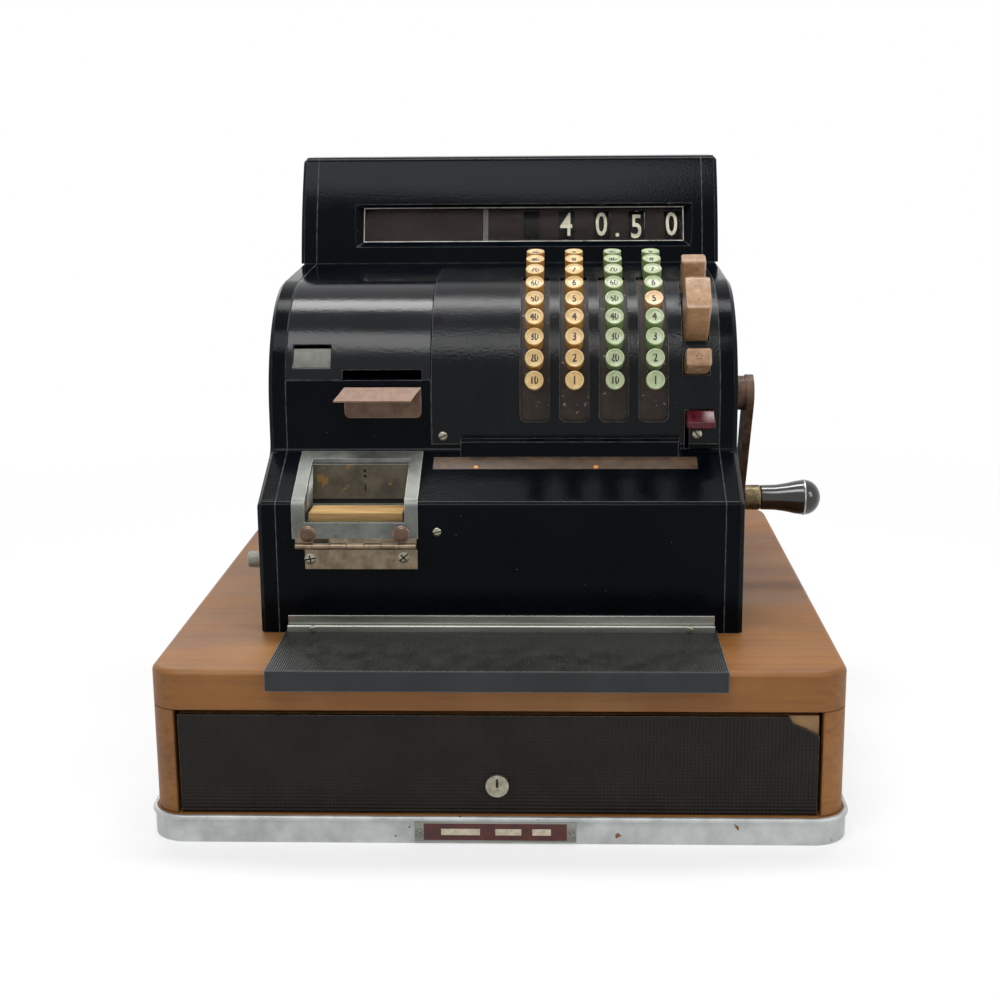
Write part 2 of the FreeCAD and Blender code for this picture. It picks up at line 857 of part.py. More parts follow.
# Tear plate
def make_tear_plate():
    """A copper sheet: a back against the casing and a skewed flap folded forward."""
    back_y = face_y
    front_y = face_y - tear_sheet
    low = wood_top + tear_low
    high = wood_top + tear_high
    back = box(tear_left, tear_right, front_y, back_y, low, high)
    corners = [e for e in back.Edges
               if all(abs(v.Z - low) < 0.01 for v in e.Vertexes)
               and abs(e.Vertexes[0].X - e.Vertexes[1].X) < 0.01]
    back = back.makeFillet(tear_corner, corners).cut(case_block(0, tear_left - spare, tear_right + spare))
    tip = V(-tear_skew, -tear_reach, -tear_drop)
    start = [V(tear_left, front_y, high), V(tear_right, front_y, high),
             V(tear_right, front_y, high - tear_sheet), V(tear_left, front_y, high - tear_sheet)]
    end = [p + tip for p in start]
    flap = Part.makeLoft([Part.makePolygon(start + start[:1]), Part.makePolygon(end + end[:1])], True, True)
    return union([back, flap])


# Ticket chute
stud_z = wood_top + stud_height
stud_left = chute_left + stud_inset
stud_right = chute_right - stud_end
bezel_front = case_front - chute_gap - chute_sheet


def knuckle_span(index):
    step = (hinge_right - hinge_left) / knuckles
    return hinge_left + index * step, hinge_left + (index + 1) * step - knuckle_gap


def knuckle(x0, x1):
    """One barrel of the hinge."""
    return turned_x([(0, hinge_radius), (x1 - x0, hinge_radius)], x0, hinge_y, hinge_z, hinge_sides)


def stud(x):
    """A copper stud with a domed head."""
    head = frustum(stud_radius, 0, stud_crown, stud_head, hinge_sides)
    head.rotate(V(0, 0, 0), V(1, 0, 0), 90)
    head.translate(V(x, bezel_front, stud_z))
    return head


def make_chute():
    """The hinged chute: bezel and hopper in one casting, back plate, tickets and studs."""
    bezel = case_skin(chute_gap + chute_sheet, chute_gap, chute_left, chute_right)
    bezel = bezel.common(box(chute_left, chute_right, bezel_front - spare, case_front + chute_top_setback,
                             wood_top + chute_bottom, hollow_z + hollow_radius))
    x0 = chute_inner_left
    x1 = chute_inner_right
    floor = chute_floor_z
    wall_front = case_front - chute_gap
    back_low = case_front + chute_back_low
    back_high = case_front + chute_back_high
    rim = on_ledge(chute_back_high)
    plate_high = rim - spare
    tray = prism_x([(wall_front, floor - tray_wall), (wall_front, crease_z),
                    (back_high + tray_wall, rim), (back_low + tray_wall, floor - tray_wall)],
                   x0 - tray_wall, x1 + tray_wall)
    tray = tray.common(case_block(chute_gap + tray_slip, x0 - tray_wall - spare, x1 + tray_wall + spare))
    above = hollow_z + hollow_radius
    room = prism_x([(wall_front + tray_wall, floor), (back_low, floor), (back_high, plate_high),
                    (back_high, above), (bezel_front - spare, above), (bezel_front - spare, chute_lip_z),
                    (wall_front + tray_wall, chute_lip_z)], x0, x1)
    body = [bezel, tray]
    for index in range(1, knuckles, 2):
        k0, k1 = knuckle_span(index)
        body.append(knuckle(k0, k1))
        body.append(box(k0, k1, bezel_front, bezel_front + leaf_sheet,
                        hinge_z, wood_top + chute_bottom + spare))
    casting = union(body).cut(room)
    casting = casting.cut(rod_x(hinge_y, hinge_z, hinge_pin + hinge_fit, hinge_left - spare,
                                hinge_right + spare))
    lean = (back_high - back_low) / (plate_high - floor)
    plate_low = floor + back_plate_lift
    plate_y = back_low + lean * back_plate_lift
    plate = prism_x([(plate_y, plate_low), (back_high, plate_high), (back_high - back_plate, plate_high),
                     (plate_y - back_plate, plate_low)], x0, x1)
    stack_y = wall_front + tray_wall + stack_gap
    stack = box(x0 + stack_margin, x1 - stack_margin, stack_y, stack_y + stack_length,
                floor, floor + stack_height)
    return [casting, plate, stack, stud(stud_left), stud(stud_right)]


def make_hinge():
    """The fixed leaf with its knuckles and the pin."""
    leaf_front = case_front - leaf_sheet
    leaf_high = hinge_z - hinge_radius - leaf_top_gap
    leaf = [box(leaf_left, hinge_right + leaf_end, leaf_front, case_front,
                wood_top + leaf_bottom, leaf_high)]
    for index in range(0, knuckles, 2):
        k0, k1 = knuckle_span(index)
        leaf.append(knuckle(k0, k1))
        leaf.append(box(max(k0, leaf_left), k1, leaf_front, case_front, leaf_high - spare, hinge_z))
    pin_end = hinge_right - knuckle_gap
    leaf.append(turned_x([(0, hinge_pin), (pin_end - hinge_left, hinge_pin)], hinge_left,
                         hinge_y, hinge_z, hinge_sides))
    return [union(leaf)]


# Coin ledge
def make_coin_ledge():
    """The flat ledge with its hanging lip, and the stepped strip along its rear."""
    front = front_edge - ledge_overhang
    plate = box(-ledge_half, ledge_half, front, case_front, wood_top, wood_top + ledge_sheet)
    lip = box(-ledge_half, ledge_half, front, front + lip_sheet,
              wood_top - ledge_lip, wood_top + ledge_sheet)
    plate = union([plate, lip])
    nose = [e for e in plate.Edges
            if all(abs(v.Y - front) < 0.01 and abs(v.Z - wood_top - ledge_sheet) < 0.01
                   for v in e.Vertexes)]
    plate = plate.makeFillet(ledge_round, nose)
    z = wood_top + ledge_sheet
    strip = prism_x([(case_front, z), (case_front - strip_step_depth, z),
                     (case_front - strip_step_depth, z + strip_step_height - strip_bevel),
                     (case_front - strip_step_depth + strip_bevel, z + strip_step_height),
                     (case_front - strip_sheet, z + strip_step_height),
                     (case_front - strip_sheet, z + strip_height), (case_front, z + strip_height)],
                    -strip_half, strip_half)
    return [plate, strip]


# Indicator housing
housing_y = front_edge + housing_front
housing_top = deck_z + housing_height
face_z = wood_top + window_height
recess_left = recess_left_margin - middle_half
recess_right = middle_half - recess_right_margin
window_x = (recess_left + recess_right) / 2
recess_width = recess_right - recess_left
pane_width = recess_width - 2 * pane_inset


def housing_block(inset, x0, x1):
    """The housing's side shape with a bowed front, from x0 to x1."""
    low = V(x0, housing_y + inset, deck_z)
    high = V(x0, housing_y + housing_lean + inset, housing_top - inset)
    back_high = V(x0, case_back - housing_back_lean - inset, housing_top - inset)
    back_low = V(x0, case_back - inset, deck_z)
    across = unit(high - low)
    outwards = V(0, -across.z, across.y)
    middle = (low + high) * 0.5 + outwards * housing_bulge
    wire = Part.Wire([arc(low, middle, high), line(high, back_high), line(back_high, back_low),
                      line(back_low, low)])
    block = Part.Face(wire).extrude(V(x1 - x0, 0, 0))
    top = [e for e in block.Edges
           if all(abs(v.Z - housing_top + inset) < 0.01 for v in e.Vertexes)
           and abs(e.Vertexes[0].X - e.Vertexes[1].X) > spare]
    return block.makeFillet(housing_round - inset, top)


def front_at(z):
    """Where the housing's bowed front stands at a height, near enough for the window."""
    part = (z - deck_z) / housing_height
    return housing_y + housing_lean * part - 4 * housing_bulge * part * (1 - part)


face_y0 = front_at(face_z)


def tilt(shape):
    """Put a shape modelled against the window's plane in its place."""
    shape.rotate(V(0, 0, 0), V(1, 0, 0), -window_lean)
    shape.translate(V(window_x, face_y0, face_z))
    return shape


def rectangle(width, height, depth, drop):
    """A rectangle in a plane parallel to XZ."""
    low = -height / 2 - drop
    high = height / 2 - drop
    return [V(-width / 2, depth, low), V(width / 2, depth, low), V(width / 2, depth, high),
            V(-width / 2, depth, high)]


def tapered_hole(near, far):
    """A block with flat sides between two rectangles."""
    loops = [near[::-1], far]
    for i in range(4):
        j = (i + 1) % 4
        loops.append([near[i], near[j], far[j], far[i]])
    faces = [Part.Face(Part.makePolygon(loop + loop[:1])) for loop in loops]
    return Part.makeSolid(Part.makeShell(faces))


wheel_depth = pad_back + glass_sheet + mask_gap + mask_sheet + wheel_gap + wheel_radius
wheel_y = face_y0 + wheel_depth * math.cos(math.radians(window_lean))
wheel_z = face_z - wheel_depth * math.sin(math.radians(window_lean))
wheel_last = middle_half - wheel_inset
wheel_places = [wheel_last - i * wheel_pitch for i in range(wheel_count + blank_wheels)][::-1]
rear_low = wheel_z - rear_window_drop
rear_high = rear_low + 2 * rear_window_height


def make_cap(x_inner, x_outer):
    """One end of the housing, rounded on its outside."""
    low, high = sorted((x_inner, x_outer))
    cap = housing_block(0, low, high)
    edges = [e for e in edges_where(cap, lambda p: abs(p.x - x_outer) < 0.01)
             if not all(abs(v.Z - deck_z) < 0.01 for v in e.Vertexes)]
    cap = cap.makeChamfer(cheek_bevel, edges)
    end = case_half - shaft_end + shaft_end_gap
    return cap.cut(rod_x(wheel_y, wheel_z, shaft_radius + shaft_fit, -end, end))


def make_housing():
    """The housing shell with its window recess, two end caps and the mask plate."""
    shell = housing_block(0, -middle_half, middle_half)
    hollow = housing_block(skin, -middle_half - spare, middle_half + spare)
    pad = tilt(box(-recess_width / 2 - pad_margin, recess_width / 2 + pad_margin, pad_front, pad_back,
                   -recess_height / 2 - pad_margin, recess_height / 2 + pad_margin))
    hollow = hollow.cut(pad)
    shell = shell.cut(hollow)
    slope = (recess_width - pane_width) / 2 / recess_depth
    rise = (recess_height - pane_height) / 2 / recess_depth
    near = rectangle(recess_width + 2 * recess_depth * slope, recess_height + 2 * recess_depth * rise,
                     -recess_depth, 2 * recess_drop)
    recess = tapered_hole(near, rectangle(pane_width, pane_height, recess_depth, 0))
    window = box(-pane_width / 2, pane_width / 2, 0, pad_back + pad_margin, -pane_height / 2,
                 pane_height / 2)
    shell = shell.cut(tilt(recess)).cut(tilt(window))
    shell = shell.cut(box(window_x - pane_width / 2, window_x + pane_width / 2, wheel_y,
                          case_back + spare, rear_low, rear_high))
    mask_front = pad_back + glass_sheet + mask_gap
    mask_half = recess_height / 2 - mask_margin
    mask = box(-recess_width / 2, recess_width / 2, mask_front, mask_front + mask_sheet,
               -mask_half, mask_half)
    for x in wheel_places:
        x -= window_x
        mask = mask.cut(box(x - mask_slot / 2, x + mask_slot / 2, mask_front - spare,
                            mask_front + mask_sheet + spare, -pane_height / 2, pane_height / 2))
    return [shell, make_cap(-middle_half, -case_half), make_cap(middle_half, case_half), tilt(mask)]


def make_glass():
    """The panes of the operator's and the customer's windows."""
    half = recess_height / 2 - mask_margin
    front = tilt(box(-recess_width / 2, recess_width / 2, pad_back, pad_back + glass_sheet, -half, half))
    slope = housing_back_lean / housing_height
    low = rear_low - pane_lap
    high = rear_high + pane_lap
    low_y = case_back - skin - (low - deck_z) * slope
    high_y = case_back - skin - (high - deck_z) * slope
    rear = prism_x([(low_y, low), (high_y, high), (high_y - glass_sheet, high), (low_y - glass_sheet, low)],
                   window_x - pane_width / 2 - pane_lap, window_x + pane_width / 2 + pane_lap)
    shell = housing_block(0, -middle_half, middle_half)
    return [front, rear.common(housing_block(skin, -middle_half, middle_half)).common(shell)]


def make_wheels():
    """The number wheels on their shaft."""
    reach = case_half - shaft_end
    first = wheel_places[0] - wheel_width / 2
    last = wheel_places[-1] + wheel_width / 2
    hub = turned_x([(0, hub_radius), (last - first, hub_radius)], first, wheel_y, wheel_z, hub_sides)
    journals = [turned_x([(0, shaft_radius), (x1 - x0, shaft_radius)], x0, wheel_y, wheel_z, shaft_sides)
                for x0, x1 in ((-reach, first), (last, reach))]
    wheels = [turned_x([(0, wheel_radius), (wheel_width, wheel_radius)], x - wheel_width / 2,
                       wheel_y, wheel_z, wheel_sides) for x in wheel_places]
    return [union([hub] + journals + wheels)]


# Crank
def make_crank():
    """The crank: shaft, hub, tapered arm and the spindle of the grip."""
    arm_x = case_half + arm_start
    tip_y = crank_y + crank_run
    tip_z = crank_z - crank_drop
    hub_x = case_half + crank_gap
    shaft = rod_x(crank_y, crank_z, crank_shaft, middle_half - crank_inside, hub_x)
    hub = turned_x([(0, crank_hub), (arm_x - hub_x, crank_hub)], hub_x, crank_y, crank_z, arm_sides)
    eye = turned_x([(0, arm_eye), (arm_sheet, arm_eye)], arm_x, crank_y, crank_z, arm_sides)
    tip = turned_x([(0, arm_tip), (arm_sheet, arm_tip)], arm_x, tip_y, tip_z, arm_sides)
    along = unit(V(0, crank_run, -crank_drop))
    across = V(0, -along.z, along.y)
    start = V(arm_x, crank_y, crank_z)
    end = V(arm_x, tip_y, tip_z)
    corners = [start + across * arm_eye, end + across * arm_tip, end - across * arm_tip,
               start - across * arm_eye]
    web = Part.Face(Part.makePolygon(corners + corners[:1])).extrude(V(arm_sheet, 0, 0))
    spindle = turned_x([(0, spindle_radius), (arm_sheet + spindle_length, spindle_radius)],
                       arm_x, tip_y, tip_z, shaft_sides)
    return [union([shaft, hub, eye, tip, web, spindle])]


def make_grip():
    """The ferrule, the flared grip, the light ring and the domed end."""
    x0 = case_half + arm_start + grip_start
    y = crank_y + crank_run
    z = crank_z - crank_drop
    neck = ferrule_length
    belly = neck + grip_length
    seat = belly + ring_width
    bore = rod_x(y, z, spindle_radius + pivot_fit, x0 - spare,
                 case_half + arm_start + arm_sheet + spindle_length + pivot_fit)
    swell = [(neck, grip_neck), (neck + grip_length * neck_share, grip_neck + neck_swell),
             (belly, grip_belly)]
    turns = [math.pi / 2 * i / dome_steps for i in range(dome_steps)]
    dome = [(seat + grip_dome * math.sin(t), grip_belly * math.cos(t)) for t in turns]
    profiles = [[(0, ferrule_radius), (neck, ferrule_radius)], swell,
                [(belly, grip_belly + ring_rise), (seat, grip_belly + ring_rise)], dome]
    return [turned_x(profile, x0, y, z, grip_sides).cut(bore) for profile in profiles]


def make_knob():
    """The small knob low on the left, on its shaft through the end frame."""
    x1 = -case_half - knob_gap
    knob = turned_x([(0, knob_radius - knob_rim), (knob_rim, knob_radius), (knob_length, knob_radius)],
                    x1 - knob_length, knob_y, knob_z, grip_sides)
    reach = cheek + knob_gap + knob_inside
    shaft = turned_x([(0, knob_shaft), (reach, knob_shaft)], x1 - spare, knob_y, knob_z, shaft_sides)
    return [union([knob, shaft])]


write("plinth", [make_plinth()])
write("wood_cabinet", make_cabinet())
write("drawer_box", make_drawer())
write("drawer_facing", [make_facing()])
write("drawer_lock", [make_lock()])
write("end_frames", make_cheeks())
write("front_cover", make_front_cover())
write("drum_cover", make_drum_cover())
write("keyboard_panel", [make_panel()])
write("key_bed", [make_beds()])
write("tear_plate", [make_tear_plate()])
write("ticket_chute", make_chute())
write("chute_hinge", make_hinge())
write("coin_ledge", make_coin_ledge())
write("indicator_housing", make_housing())
write("indicator_glass", make_glass())
write("number_wheels", make_wheels())
write("crank_arm", make_crank())
write("crank_grip", make_grip())
write("side_knob", make_knob())
write("selector_lever", [make_lever()])
write("motor_bar", [make_motor_bar()])
write("total_key", [make_square_key(*function_keys["total_key"])])
write("star_key", [make_square_key(*function_keys["star_key"])])
for bank in range(bank_count):
    for row in range(row_count):
        key = make_key(row_first + row * row_step, bank_first + bank * bank_pitch)
        write("key_bank%d_row%d" % (bank + 1, row + 1), [key])
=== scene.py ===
"""Dresses the ticket register: finishes, edges, keys, digits, crank, chute and the studio around it."""
import functools
import json
import math

import bpy
from mathutils import Matrix, Vector

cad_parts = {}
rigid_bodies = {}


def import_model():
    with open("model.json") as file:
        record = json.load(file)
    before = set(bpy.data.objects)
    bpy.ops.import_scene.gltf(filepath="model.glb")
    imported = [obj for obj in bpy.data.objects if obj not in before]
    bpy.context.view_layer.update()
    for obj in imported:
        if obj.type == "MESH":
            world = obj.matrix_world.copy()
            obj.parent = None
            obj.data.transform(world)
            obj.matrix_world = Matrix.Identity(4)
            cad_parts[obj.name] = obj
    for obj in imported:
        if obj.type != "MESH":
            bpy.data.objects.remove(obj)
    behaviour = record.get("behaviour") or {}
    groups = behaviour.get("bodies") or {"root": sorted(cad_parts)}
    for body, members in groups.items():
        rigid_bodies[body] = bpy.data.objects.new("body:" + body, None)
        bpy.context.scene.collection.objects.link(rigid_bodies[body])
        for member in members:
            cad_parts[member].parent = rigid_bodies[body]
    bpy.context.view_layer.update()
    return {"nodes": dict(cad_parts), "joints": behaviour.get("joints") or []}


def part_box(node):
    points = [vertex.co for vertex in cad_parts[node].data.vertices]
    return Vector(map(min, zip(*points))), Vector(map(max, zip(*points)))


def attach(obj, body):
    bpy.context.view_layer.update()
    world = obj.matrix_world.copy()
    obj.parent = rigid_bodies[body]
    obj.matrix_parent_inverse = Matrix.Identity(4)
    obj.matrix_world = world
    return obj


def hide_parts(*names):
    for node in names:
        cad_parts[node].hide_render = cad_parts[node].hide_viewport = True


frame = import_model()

bl_info = {
    "name": "Ticket register",
    "version": (1, 0, 0),
    "blender": (4, 5, 0),
    "location": "View3D > Sidebar > Register",
    "description": "Dresses a counter-top ticket register and sets up its studio",
    "category": "Add Mesh",
}

MM = 0.001

# Places and lengths on the object, in metres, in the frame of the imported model.
WOOD_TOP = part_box("wood_cabinet")[1].z
CASE_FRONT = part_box("end_frames")[0].y
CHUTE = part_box("ticket_chute")
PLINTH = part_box("plinth")
DRUM_Y = -0.0096
DRUM_Z = 0.2786
FACE_Y = -0.100
FRONT_HEIGHT = 0.0965
BANK_FIRST = 0.0244
BANK_PITCH = 0.02955
KEY_RADIUS = 0.1155
FUNCTION_X = 0.1448
WHEEL_FIRST = 0.0189
WHEEL_PITCH = 0.0297
WHEEL_RADIUS = 0.0383
WINDOW_REACH = 0.0506
WINDOW_X = (-0.1235, 0.1475)
PANE_HALF = 0.0151
GLASS_BACK = -0.0100

# Where the scale strip lies in the front cover and the shutter in the drum cover: the span across, the
# span of rise above the wooden top, and the strip's span in depth or the shutter's reach from the axis.
SCALE_X = (-0.0506, 0.1452)
SCALE_RISE = (0.110, 0.1215)
SCALE_Y = (FACE_Y - 0.0233, FACE_Y - 0.0088)
SHUTTER_X = (-0.1569, -0.1291)
SHUTTER_RISE = (0.1855, 0.1998)
SHUTTER_REACH = 0.0893
CAP_INSIDE = 0.1625

# Angles in degrees: the first key row and the step between rows, and how far each face leans back.
ROW_FIRST = 12.95
ROW_STEP = 8.22
WINDOW_LEAN = 20.0
CHUTE_LEAN = 15.3
LEDGE_SLOPE = 24.5

# The camera's place in metres, and its turn in degrees: to the left, downwards, and about its own axis.
CAMERA_PLACE = (0.0446, -1.2907, 0.4782)
CAMERA_TURN = (1.87, 12.49, -0.42)

# Each lamp's place and aim, its width and depth in metres, and its power in watts.
LAMPS = {
    "key_light": ((-0.6, -1.75, 3.3), (0, -0.1, 0.33), 2.2, 1.1, 56),
    "fill_light": ((1.5, -1.1, 1.0), (0, 0, 0.25), 0.5, 0.9, 7),
    "top_light": ((0.05, 0.36, 1.95), (0, -0.05, 0.35), 1.3, 0.42, 24),
    "rear_light": ((-1.2, 1.7, 1.2), (0, 0, 0.3), 1.2, 1.2, 5),
}

# The two colours of each key plastic's flank and of its bleached face, and how far light goes in.
KEY_PLASTICS = {
    "amber": ("#b28440", "#c59852", "#cda96d", "#dcbb83", 0.08),
    "green": ("#7d9860", "#8fa871", "#a0ae84", "#b1bd96", 0.08),
    "peach": ("#c08d62", "#d0a176", "#e0b98c", "#eccaa2", 0.0),
}

joint_of = {joint["name"]: joint for joint in frame["joints"]}
WHEEL_CENTRE = Vector(joint_of["number_wheels_turn"]["pos_m"])
GRIP_LINE = Vector(joint_of["grip_spin"]["pos_m"])


def linear(code):
    """An sRGB hex colour as the linear colour that shaders take."""
    parts = [int(code[i:i + 2], 16) / 255 for i in (1, 3, 5)]
    return tuple(p / 12.92 if p <= 0.04045 else ((p + 0.055) / 1.055) ** 2.4 for p in parts) + (1.0,)


# Materials
def add(tree, kind, inputs=None, **settings):
    """Add a node with its settings, and fill its sockets with values or with other nodes' outputs."""
    node = tree.nodes.new(kind)
    for key, value in settings.items():
        setattr(node, key, value)
    for key, value in (inputs or {}).items():
        if isinstance(value, bpy.types.NodeSocket):
            tree.links.new(value, node.inputs[key])
        else:
            node.inputs[key].default_value = value
    return node


def emptied(owner):
    """The node tree of a new material or world, with nothing in it yet."""
    owner.use_nodes = True
    owner.node_tree.nodes.clear()
    return owner.node_tree


def surface(name, dark, light, patch, roughness, metallic=0.0, grit=None, bump=0.0, stretch=(1, 1, 1),
            **sockets):
    """A finish that drifts between two colours in patches, with fine grit in its relief. Sizes in mm."""
    material = bpy.data.materials.new(name)
    tree = emptied(material)
    place = add(tree, "ShaderNodeTexCoord").outputs["Object"]
    laid = add(tree, "ShaderNodeMapping", {"Vector": place, "Scale": stretch}).outputs["Vector"]
    cloud = add(tree, "ShaderNodeTexNoise", {"Vector": laid, "Scale": 1 / (patch * MM), "Detail": 5.0,
                                             "Roughness": 0.6}).outputs["Fac"]
    spread = add(tree, "ShaderNodeMapRange", {"Value": cloud, "From Min": 0.35, "From Max": 0.65})
    colour = add(tree, "ShaderNodeMixRGB", {"Fac": spread.outputs[0], "Color1": linear(dark),
                                            "Color2": linear(light)})
    low, high = roughness
    rough = add(tree, "ShaderNodeMapRange", {"Value": cloud, "From Min": 0.3, "From Max": 0.7,
                                             "To Min": low, "To Max": high})
    shader = add(tree, "ShaderNodeBsdfPrincipled", {"Base Color": colour.outputs["Color"],
                                                    "Roughness": rough.outputs[0], "Metallic": metallic})
    for key, value in sockets.items():
        shader.inputs[key.replace("_", " ")].default_value = value
    if grit:
        grain = add(tree, "ShaderNodeTexNoise", {"Vector": laid, "Scale": 1 / (grit * MM), "Detail": 3.0})
        relief = add(tree, "ShaderNodeBump", {"Height": grain.outputs["Fac"], "Strength": bump,
                                              "Distance": grit * MM * 0.4})
        tree.links.new(relief.outputs["Normal"], shader.inputs["Normal"])
    add(tree, "ShaderNodeOutputMaterial", {"Surface": shader.outputs["BSDF"]})
    return material


def shader_of(material):
    """A finish's main shader."""
    return next(n for n in material.node_tree.nodes if n.type == "BSDF_PRINCIPLED")


def overlaid(material, share, colour):
    """Lay another colour over a finish, as strongly as a socket between 0 and 1 says."""
    tree = material.node_tree
    shader = shader_of(material)
    under = shader.inputs["Base Color"].links[0].from_socket
    mixed = add(tree, "ShaderNodeMixRGB", {"Fac": share, "Color1": under, "Color2": linear(colour)})
    tree.links.new(mixed.outputs["Color"], shader.inputs["Base Color"])
    return material


def rubbed(material, colour, width, amount):
    """Wear a finish to another colour along its sharp edges, in patches. Width in mm."""
    tree = material.node_tree
    rounded = add(tree, "ShaderNodeBevel", {"Radius": width * MM}, samples=4).outputs["Normal"]
    flat = add(tree, "ShaderNodeNewGeometry").outputs["True Normal"]
    same = add(tree, "ShaderNodeVectorMath", {0: rounded, 1: flat}, operation="DOT_PRODUCT")
    edge = add(tree, "ShaderNodeMapRange", {"Value": same.outputs["Value"], "From Min": 0.985,
                                            "From Max": 0.93}).outputs[0]
    place = add(tree, "ShaderNodeTexCoord").outputs["Object"]
    cloud = add(tree, "ShaderNodeTexNoise", {"Vector": place, "Scale": 160.0, "Detail": 4.0})
    patches = add(tree, "ShaderNodeMapRange", {"Value": cloud.outputs["Fac"], "From Min": 0.38,
                                               "From Max": 0.62, "To Min": amount * 0.45,
                                               "To Max": amount}).outputs[0]
    worn = add(tree, "ShaderNodeMath", {0: edge, 1: patches}, operation="MULTIPLY").outputs[0]
    return overlaid(material, worn, colour)


def ruled(material, pitch, depth, *axes):
    """Press evenly spaced grooves across one or more axes into a finish. Sizes in mm."""
    tree = material.node_tree
    shader = shader_of(material)
    place = add(tree, "ShaderNodeTexCoord").outputs["Object"]
    for axis in axes:
        wave = add(tree, "ShaderNodeTexWave", {"Vector": place, "Scale": math.pi / (10 * pitch * MM)},
                   bands_direction=axis).outputs["Fac"]
        relief = add(tree, "ShaderNodeBump", {"Height": wave, "Distance": depth * MM})
        if shader.inputs["Normal"].is_linked:
            tree.links.new(shader.inputs["Normal"].links[0].from_socket, relief.inputs["Normal"])
        tree.links.new(relief.outputs["Normal"], shader.inputs["Normal"])
    return material


def flecked(material, colour, size, share):
    """Lay sparse specks of another colour, such as chips or dust, over a finish. Size in mm."""
    tree = material.node_tree
    place = add(tree, "ShaderNodeTexCoord").outputs["Object"]
    spots = add(tree, "ShaderNodeTexNoise", {"Vector": place, "Scale": 1 / (size * MM), "Detail": 2.0})
    hit = add(tree, "ShaderNodeMapRange", {"Value": spots.outputs["Fac"], "From Min": share,
                                           "From Max": share + 0.02})
    return overlaid(material, hit.outputs[0], colour)


def stove_enamel(name, gloss, worn):
    """Stoved blue-black enamel on cast and pressed covers: a fine leathery skin, glossy or gone dull. Its
    edges are rubbed to a lighter colour, partly wear and partly a painted highlight along the edges and
    creases.
    """
    material = surface(name, "#03060a", "#060b10", 45, (0.1, 0.16), grit=2.0, bump=0.12,
                       Specular_IOR_Level=gloss)
    return rubbed(flecked(material, "#8a8c8c", 1.6, 0.79), worn, 0.8, 0.8)


def varnished_wood():
    """Stained hardwood with long grain along the board and a worn satin varnish."""
    material = surface("varnished_wood", "#70461f", "#8e5e2e", 70, (0.4, 0.58), grit=0.9, bump=0.2,
                       stretch=(0.12, 1, 1), Specular_IOR_Level=0.3)
    tree = material.node_tree
    place = add(tree, "ShaderNodeTexCoord").outputs["Object"]
    fibres = add(tree, "ShaderNodeMapping", {"Vector": place, "Scale": (9, 260, 260)}).outputs["Vector"]
    lines = add(tree, "ShaderNodeTexNoise", {"Vector": fibres, "Scale": 1.0, "Detail": 7.0}).outputs["Fac"]
    dark = add(tree, "ShaderNodeMapRange", {"Value": lines, "From Min": 0.48, "From Max": 0.72,
                                            "To Max": 0.42}).outputs[0]
    overlaid(material, dark, "#4c2c13")
    stain = add(tree, "ShaderNodeTexNoise", {"Vector": place, "Scale": 9.0, "Detail": 6.0}).outputs["Fac"]
    worn = add(tree, "ShaderNodeMapRange", {"Value": stain, "From Min": 0.5, "From Max": 0.75,
                                            "To Max": 0.55}).outputs[0]
    overlaid(material, worn, "#a07443")
    return rubbed(material, "#4a2d17", 1.6, 0.7)


def embossed_laminate(pitch):
    """Black-brown laminate with a small pressed grid and a dull sheen."""
    material = surface("embossed_laminate", "#0d0906", "#1a130e", 35, (0.32, 0.48), Specular_IOR_Level=0.2)
    return rubbed(ruled(material, pitch, 0.32, "X", "Z"), "#8f7f6c", 0.6, 0.7)


def ribbed_sheet(pitch):
    """Black painted sheet with rolled ribs, dusty in its grooves."""
    material = surface("ribbed_sheet", "#0c0c0b", "#1a1917", 12, (0.38, 0.55), grit=0.8, bump=0.2)
    return rubbed(flecked(ruled(material, pitch, 0.3, "X"), "#8c887c", 1.8, 0.76), "#8f9496", 0.8, 0.9)


def key_plastic(shade):
    """Moulded plastic of the number keys: a clear, softly shining flank, and a face bleached to cream."""
    dark, light, bleached_dark, bleached_light, depth = KEY_PLASTICS[shade]
    flank = surface(shade + "_side", dark, light, 10, (0.25, 0.36), grit=1.0, bump=0.04,
                    Subsurface_Weight=depth)
    face = surface(shade + "_top", bleached_dark, bleached_light, 6, (0.22, 0.32), grit=1.0, bump=0.04,
                   Subsurface_Weight=depth)
    return flank, face


def backdrop_rays(tree):
    """A socket that is 1 for the rays that meet the plain backdrop: seen, mirrored or through glass."""
    path = add(tree, "ShaderNodeLightPath").outputs
    mirrored = add(tree, "ShaderNodeMath", {0: path["Is Glossy Ray"], 1: path["Is Transmission Ray"]},
                   operation="MAXIMUM").outputs[0]
    return add(tree, "ShaderNodeMath", {0: path["Is Camera Ray"], 1: mirrored},
               operation="MAXIMUM").outputs[0]


def studio_floor(colour):
    """The plain floor: it shows the backdrop's colour far off, and takes the object's shadow near it."""
    material = bpy.data.materials.new("studio_floor")
    tree = emptied(material)
    place = add(tree, "ShaderNodeTexCoord").outputs["Object"]
    reach = add(tree, "ShaderNodeVectorMath", {0: place}, operation="LENGTH").outputs["Value"]
    far = add(tree, "ShaderNodeMapRange", {"Value": reach, "From Min": 0.35, "From Max": 1.3,
                                           "To Min": 0.62, "To Max": 1.0}).outputs[0]
    share = add(tree, "ShaderNodeMath", {0: backdrop_rays(tree), 1: far}, operation="MULTIPLY").outputs[0]
    lit = add(tree, "ShaderNodeBsdfDiffuse", {"Color": linear("#f4f4f4")}).outputs[0]
    plain = add(tree, "ShaderNodeEmission", {"Color": colour, "Strength": 1.0}).outputs[0]
    mixed = add(tree, "ShaderNodeMixShader", {0: share, 1: lit, 2: plain}).outputs[0]
    add(tree, "ShaderNodeOutputMaterial", {"Surface": mixed})
    return material


